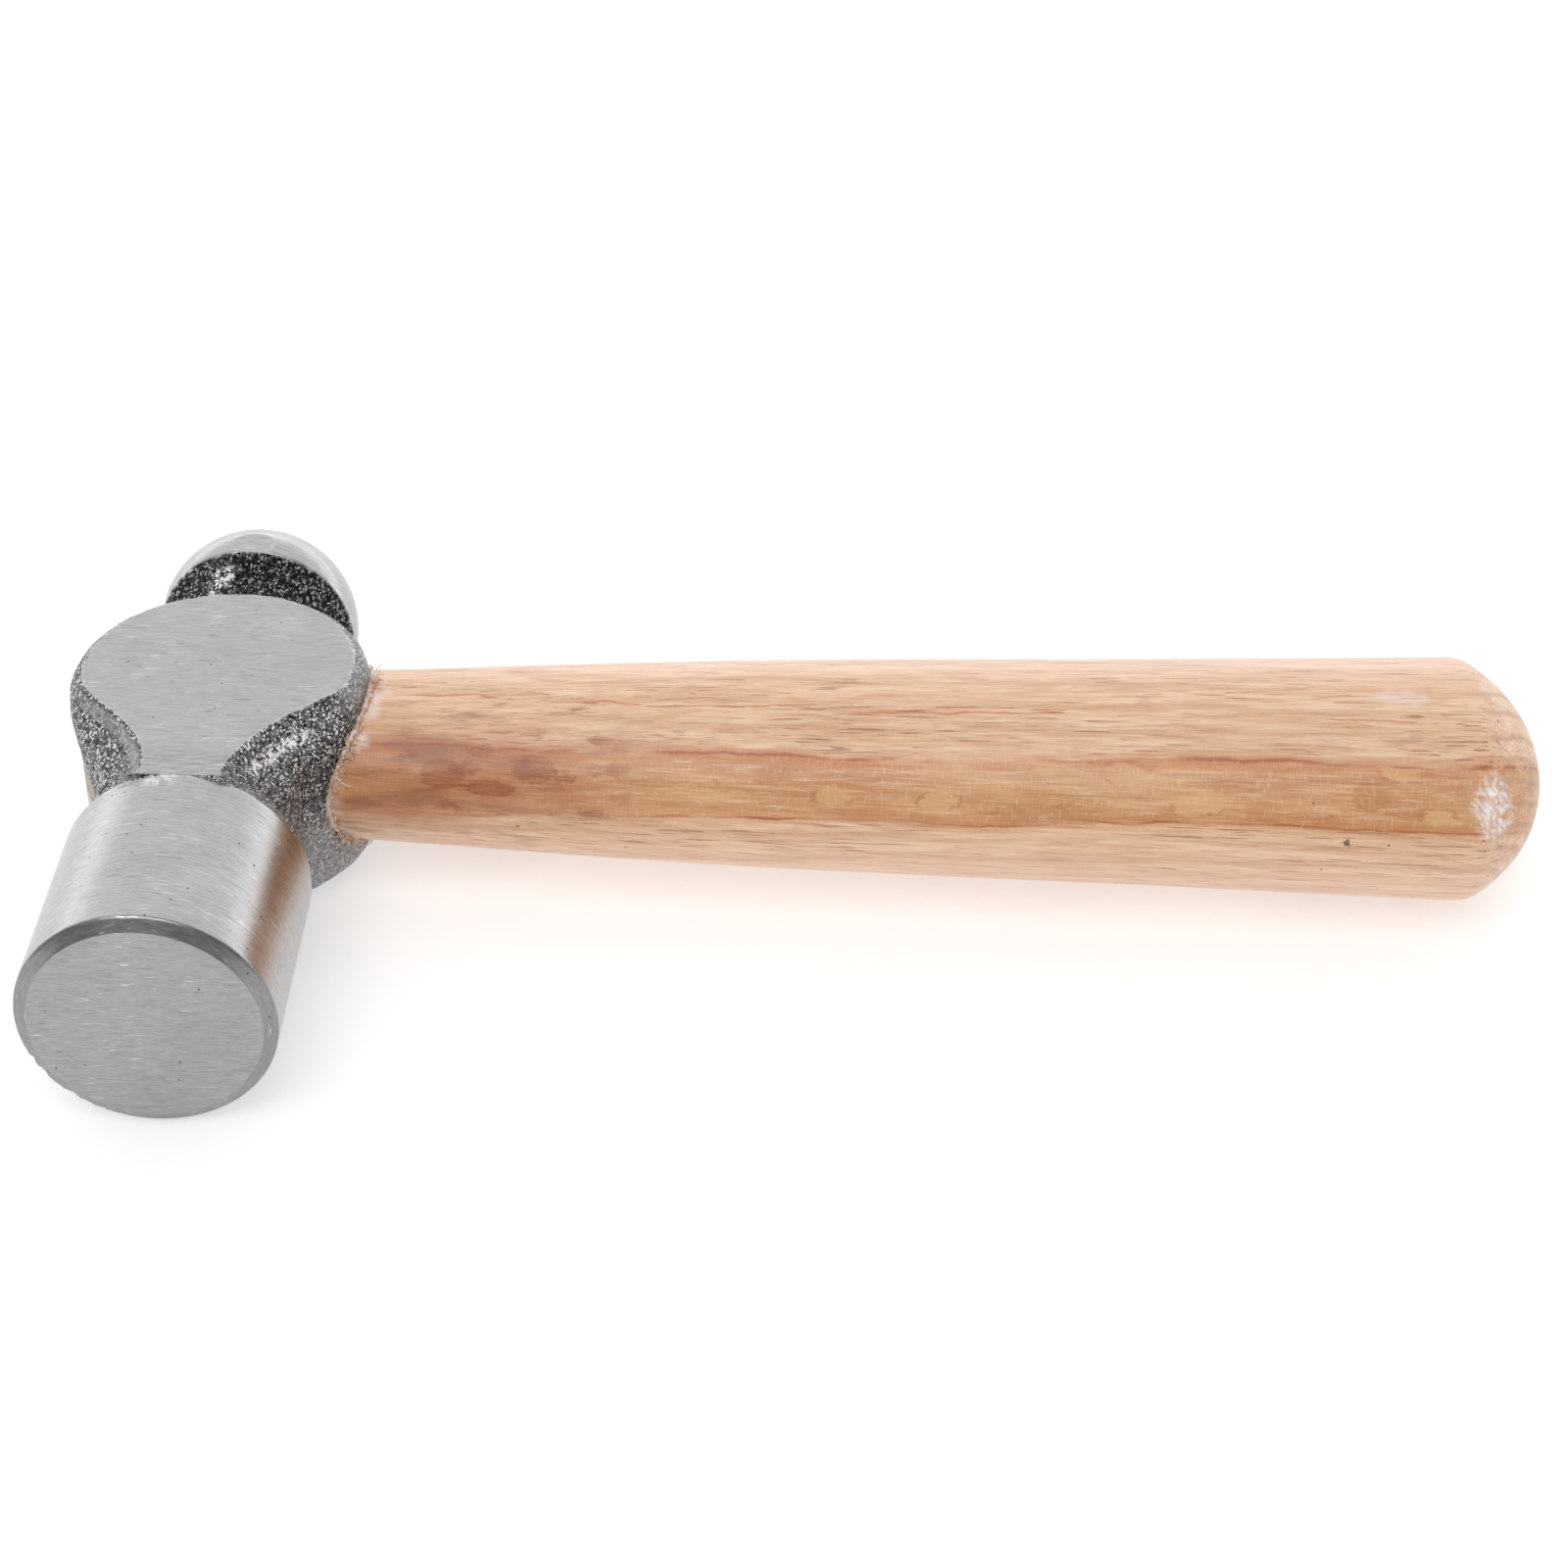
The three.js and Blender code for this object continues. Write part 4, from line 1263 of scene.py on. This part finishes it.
def prism(name, near, far, thick_near, thick_far, width, centre_y, flat):
    """A wedge-shaped cutter along X. Flat ones are thin along Z, the others along Y."""
    corners = []
    for x, thick in ((near, thick_near), (far, thick_far)):
        for s, t in ((-1, -1), (1, -1), (1, 1), (-1, 1)):
            y, z = (s * width / 2, t * thick / 2) if flat else (s * thick / 2, t * width / 2)
            corners.append((x, centre_y + y, HANDLE_Z + z))
    sides = [(0, 1, 2, 3), (7, 6, 5, 4), (0, 4, 5, 1), (1, 5, 6, 2), (2, 6, 7, 3), (3, 7, 4, 0)]
    triangles = [t for a, b, c, d in sides for t in ((a, b, c), (a, c, d))]
    return make_piece(name, corners, triangles, [lacquered_wood])


outer = -TENON_END_RADIUS - 5
for wedge, width, middle_y, flat in (
    (WOOD_WEDGE, RIGHT_ACROSS, 0, True),
    (STEEL_WEDGE, STEEL_WEDGE_WIDTH + 2 * GAP, -STEEL_WEDGE_Y, False),
    (STEEL_WEDGE, STEEL_WEDGE_WIDTH + 2 * GAP, STEEL_WEDGE_Y, False),
):
    slope = (wedge["thick"] - wedge["thin"]) / wedge["length"]
    tip = -TENON_END_RADIUS + wedge["length"] + GAP
    thicks = [wedge["thick"] - slope * (x + TENON_END_RADIUS) + 2 * GAP for x in (outer, tip)]
    carve(handle, prism("slot_cutter", outer, tip, *thicks, width, middle_y, flat))
kerf_end = -TENON_END_RADIUS + KERF_DEPTH
carve(handle, prism("kerf_cutter", outer, kerf_end, KERF_WIDTH, KERF_WIDTH, RIGHT_ACROSS, 0, True))
print("handle has", len(handle.data.polygons), "faces after its slots are cut")

# %% [markdown]
# The lacquer is cloudy in three places: in a film on the wood beside the eye, where it pooled, in a smudge
# on top of the grip near the butt, and round the dried drops. The mesh carries that as `film`, and as
# `drops` the white, curly skin of the drops themselves, painted near white as the highlight on them.
# `blots` marks the three largest dark blotches of the stain, which lie on the side of the grip near the head.

# %% Film of lacquer


def mouth_x(y, z):
    """Where the boss's surface is, on the handle's side."""
    squeeze = np.clip(1 - (np.abs(z) / BOSS_HALF_HEIGHT) ** BOSS_SQUARENESS, 0, 1) ** (1 / BOSS_SQUARENESS)
    return BOSS_X + np.sqrt(np.maximum((BOSS_RADIUS * squeeze) ** 2 - y**2, 0))


SMUDGE_PLACE = (140.3, -2.8, 13.1)
SMUDGE_STRETCH = (0.42, 0.7, 0.5)
place_mm = millimetres(handle.data)
x, y, z = place_mm.T
uneven = cloudy(place_mm, 0.33, 31)
fine_uneven = cloudy(place_mm, 1.1, 32)
reach = 1.6 + 2.8 * uneven + 1.2 * fine_uneven
film = smooth_step(x - mouth_x(y, z), reach + 0.4, reach - 0.4)
smudge_far = np.linalg.norm((place_mm - SMUDGE_PLACE) * SMUDGE_STRETCH, axis=1) + 0.6 * fine_uneven
film = np.maximum(film, 0.55 * smooth_step(smudge_far, 1.5, 0.9))
drop_far = np.linalg.norm((place_mm - DROP_PLACE) * DROP_STRETCH, axis=1) + 0.8 * uneven
film = np.maximum(film, 0.85 * smooth_step(drop_far, 2.9, 1.2) * smooth_step(fine_uneven, -0.45, 0.0))
paint(handle.data, "film", film)
print("film on", int((film > 0.5).sum()), "points")

# %% Blots and dried drops
BLOTS = (((38.3, -10.8, 5.6), 2.6, 1.8), ((27.4, -10.8, 4.6), 2.6, 1.9), ((33.1, -11.9, 3.4), 3.0, 1.1))
blot_shape = np.zeros(len(place_mm))
for centre, half_long, half_wide in BLOTS:
    blot_far = np.linalg.norm((place_mm - centre) / (half_long, half_wide, half_wide), axis=1)
    blot_shape = np.maximum(blot_shape, smooth_step(blot_far, 1.7, 0.3))
paint(handle.data, "blots", blot_shape)
# White curls of the drops, painted bright as their highlight.
curl_glints = smooth_step(np.abs(cloudy(place_mm, 1.3, 33)), 0.08, 0.02)
curl_glints = np.clip(curl_glints + smooth_step(cloudy(place_mm, 2.4, 34), 0.24, 0.36), 0, 1)
paint(handle.data, "drops", 0.85 * curl_glints * smooth_step(drop_far, 3.0, 1.2))
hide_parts("handle")
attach(handle, "root")
open_edges = mark_crisp(handle, 40)
print("handle:", len(handle.data.polygons), "faces,", open_edges, "open edges")

# %% [markdown]
# ## Round the mouth of the eye
# Driving the handle home shaves fibres off the wood, and the lacquer glues them down. The bead is a thin,
# lumpy ring that follows the mouth's curved edge, where the oval of the eye meets the round of the boss.
# Each depends on the other, so a few rounds of working out one from the other settle both.

# %% Line of the mouth
BEAD_AROUND = 420
bead_turns = np.linspace(0, 2 * np.pi, BEAD_AROUND, endpoint=False)
mouth_half = np.full(BEAD_AROUND, 12.0)
for _ in range(6):
    mouth_y = mouth_half * np.cos(bead_turns)
    mouth_z = HANDLE_Z + OVAL * mouth_half * np.sin(bead_turns)
    at_x = mouth_x(mouth_y, mouth_z)
    mouth_half = eye_half_width(at_x)
mouth_line = np.stack([at_x, mouth_y, mouth_z], 1)
radial = np.stack([0 * at_x, np.cos(bead_turns), np.sin(bead_turns) / OVAL], 1)
radial /= np.linalg.norm(radial, axis=1)[:, None]
print("mouth from", round(float(at_x.min()), 1), "to", round(float(at_x.max()), 1), "mm along the handle")

# %% Bead of dried lacquer
SECTION = 12
lumpy = cloudy(mouth_line, 0.45, 41) * 0.5 + cloudy(mouth_line, 1.5, 42) * 0.5
thickness = 0.13 + 0.50 * np.maximum(lumpy + 0.12, 0)
bead_rings = []
for corner in np.linspace(0, 2 * np.pi, SECTION, endpoint=False):
    wobble = 1 + 0.35 * cloudy(mouth_line + corner, 1.1, 43)
    sideways = (0.15 + thickness * 1.5 * math.cos(corner) * wobble)[:, None] * np.array([1.0, 0, 0])
    outwards = (-0.12 + thickness * math.sin(corner) * wobble)[:, None] * radial
    bead_rings.append(mouth_line + sideways + outwards)
bead_faces = []
for step in range(BEAD_AROUND):
    ahead = ((step + 1) % BEAD_AROUND) * SECTION
    for corner in range(SECTION):
        beside = (corner + 1) % SECTION
        here = step * SECTION
        bead_faces.append((here + corner, here + beside, ahead + beside, ahead + corner))
bead = make_piece("lacquer_bead", np.stack(bead_rings, 1).reshape(-1, 3), bead_faces, [dried_lacquer])
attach(bead, "root")
print("bead:", len(bead_faces), "faces, from", round(float(thickness.min()), 2), "mm thick")

# %% [markdown]
# The fibres are short curled hairs. Some are scattered all round the front of the mouth and few behind it,
# and the rest stand in clumps, at its top, its middle and its bottom. Each starts on the mouth and turns by
# the same amount at every joint, which makes a curl.

# %% Where a fibre grows
FIBRES = 330
IN_A_CLUMP = 0.4
BARE_BEHIND = 0.6
CLUMPS = np.array(
    [(15.2, -10.8, 2.9), (15.9, -8.4, 6.2), (15.4, -10.4, -5.0), (16.6, -9.4, -6.0), (19.0, 0.6, 9.3)]
)
JOINTS = 8
random = np.random.default_rng(7)
skin_x = np.concatenate([[0, 16], even[:, 0]])
skin_half = np.concatenate([[11, 11.6], even[:, 1]])


def fibre_spot():
    """A place on the mouth for a fibre, or None where it has come off."""
    spot = random.integers(BEAD_AROUND)
    if random.random() < IN_A_CLUMP:
        clump = CLUMPS[random.integers(len(CLUMPS))] + random.normal(0, 0.7, 3)
        spot = int(np.linalg.norm(mouth_line - clump, axis=1).argmin())
    behind = mouth_line[spot, 1] >= 4
    return None if behind and random.random() < BARE_BEHIND else spot


def fibre_spine(spot):
    """The joints of one fibre, two directions across it, and how thick it is."""
    start = mouth_line[spot] + (random.uniform(-0.2, 0.9), 0, 0) + radial[spot] * random.uniform(-0.1, 0.15)
    along_mouth = np.cross(radial[spot], (1, 0, 0))
    heading = along_mouth * random.normal(0, 1) + np.array([1, 0, 0]) * random.normal(0.25, 0.8)
    heading = heading + radial[spot] * abs(random.normal(0.25, 0.25))
    heading /= np.linalg.norm(heading)
    curl_axis = random.normal(0, 1, 3)
    curl_axis /= np.linalg.norm(curl_axis)
    bend = random.normal(0, 0.42)
    length_mm = random.uniform(0.4, 1.9)
    thick = random.uniform(0.04, 0.11)
    spine = [start]
    for _ in range(JOINTS - 1):
        heading = heading + np.cross(curl_axis, heading) * bend
        heading /= np.linalg.norm(heading)
        spine.append(spine[-1] + heading * length_mm / (JOINTS - 1))
    side = np.cross(heading, curl_axis)
    side /= np.linalg.norm(side)
    return np.array(spine), side, np.cross(heading, side), thick


print(FIBRES, "tries, seed 7")

# %% [markdown]
# A fibre lies on the wood, so any joint of it that would go under the handle's skin is lifted onto it. Then
# each becomes a thin five-sided tube that tapers to its tip.

# %% Torn fibres
SIDES = 5
last = (JOINTS - 1) * SIDES
tube_faces = []
for joint in range(JOINTS - 1):
    for corner in range(SIDES):
        here = joint * SIDES + corner
        beside = joint * SIDES + (corner + 1) % SIDES
        tube_faces.append((here, beside, beside + SIDES))
        tube_faces.append((here, beside + SIDES, here + SIDES))
for corner in range(1, SIDES - 1):
    tube_faces.append((0, corner + 1, corner))
    tube_faces.append((last, last + corner, last + corner + 1))

tubes = []
for spot in (fibre_spot() for _ in range(FIBRES)):
    if spot is None:
        continue
    spine, side, other, thick = fibre_spine(spot)
    skin = np.interp(spine[:, 0], skin_x, skin_half)
    reach = np.hypot(spine[:, 1], (spine[:, 2] - HANDLE_Z) / OVAL)
    spine = spine + radial[spot] * np.maximum(skin + 0.05 - reach, 0)[:, None]
    tube = []
    for joint, centre in enumerate(spine):
        taper = thick * (1 - 0.75 * (joint / (JOINTS - 1)) ** 2)
        for corner in range(SIDES):
            angle = 2 * math.pi * corner / SIDES
            tube.append(centre + taper * (math.cos(angle) * side + math.sin(angle) * other))
    tubes.append(np.array(tube))
fibre_faces = np.vstack([np.array(tube_faces) + k * JOINTS * SIDES for k in range(len(tubes))])
fibres = make_piece("torn_fibres", np.vstack(tubes), fibre_faces, [torn_fibre])
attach(fibres, "root")
print("fibres:", len(tubes))

# %% [markdown]
# ## Wedges
# The wedges keep their exact solids. Their edges are eased a little, since a wedge is never sharp after it
# has been driven, and they get their own finishes.

# %% Wedges
EASED_MM = 0.15
for node, finish, slot in (
    ("wooden_wedge", bare_wood, "wedge_wood"),
    ("steel_wedge_1", mill_steel, "wedge_steel"),
    ("steel_wedge_2", mill_steel, "wedge_steel"),
):
    wedge = frame["nodes"][node]
    wedge.data.materials.clear()
    wedge.data.materials.append(finish)
    eased = wedge.modifiers.new("eased_edges", "BEVEL")
    eased.width = EASED_MM * MM
    eased.segments = 2
    eased.limit_method = "ANGLE"
    eased.angle_limit = math.radians(40)
    print(node, "eased by", EASED_MM, "mm")

# %% Sizes
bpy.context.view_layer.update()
for axis in range(3):
    print("XYZ"[axis], "solid", round(cad_low[axis] / MM, 3), round(cad_high[axis] / MM, 3), end=" ")
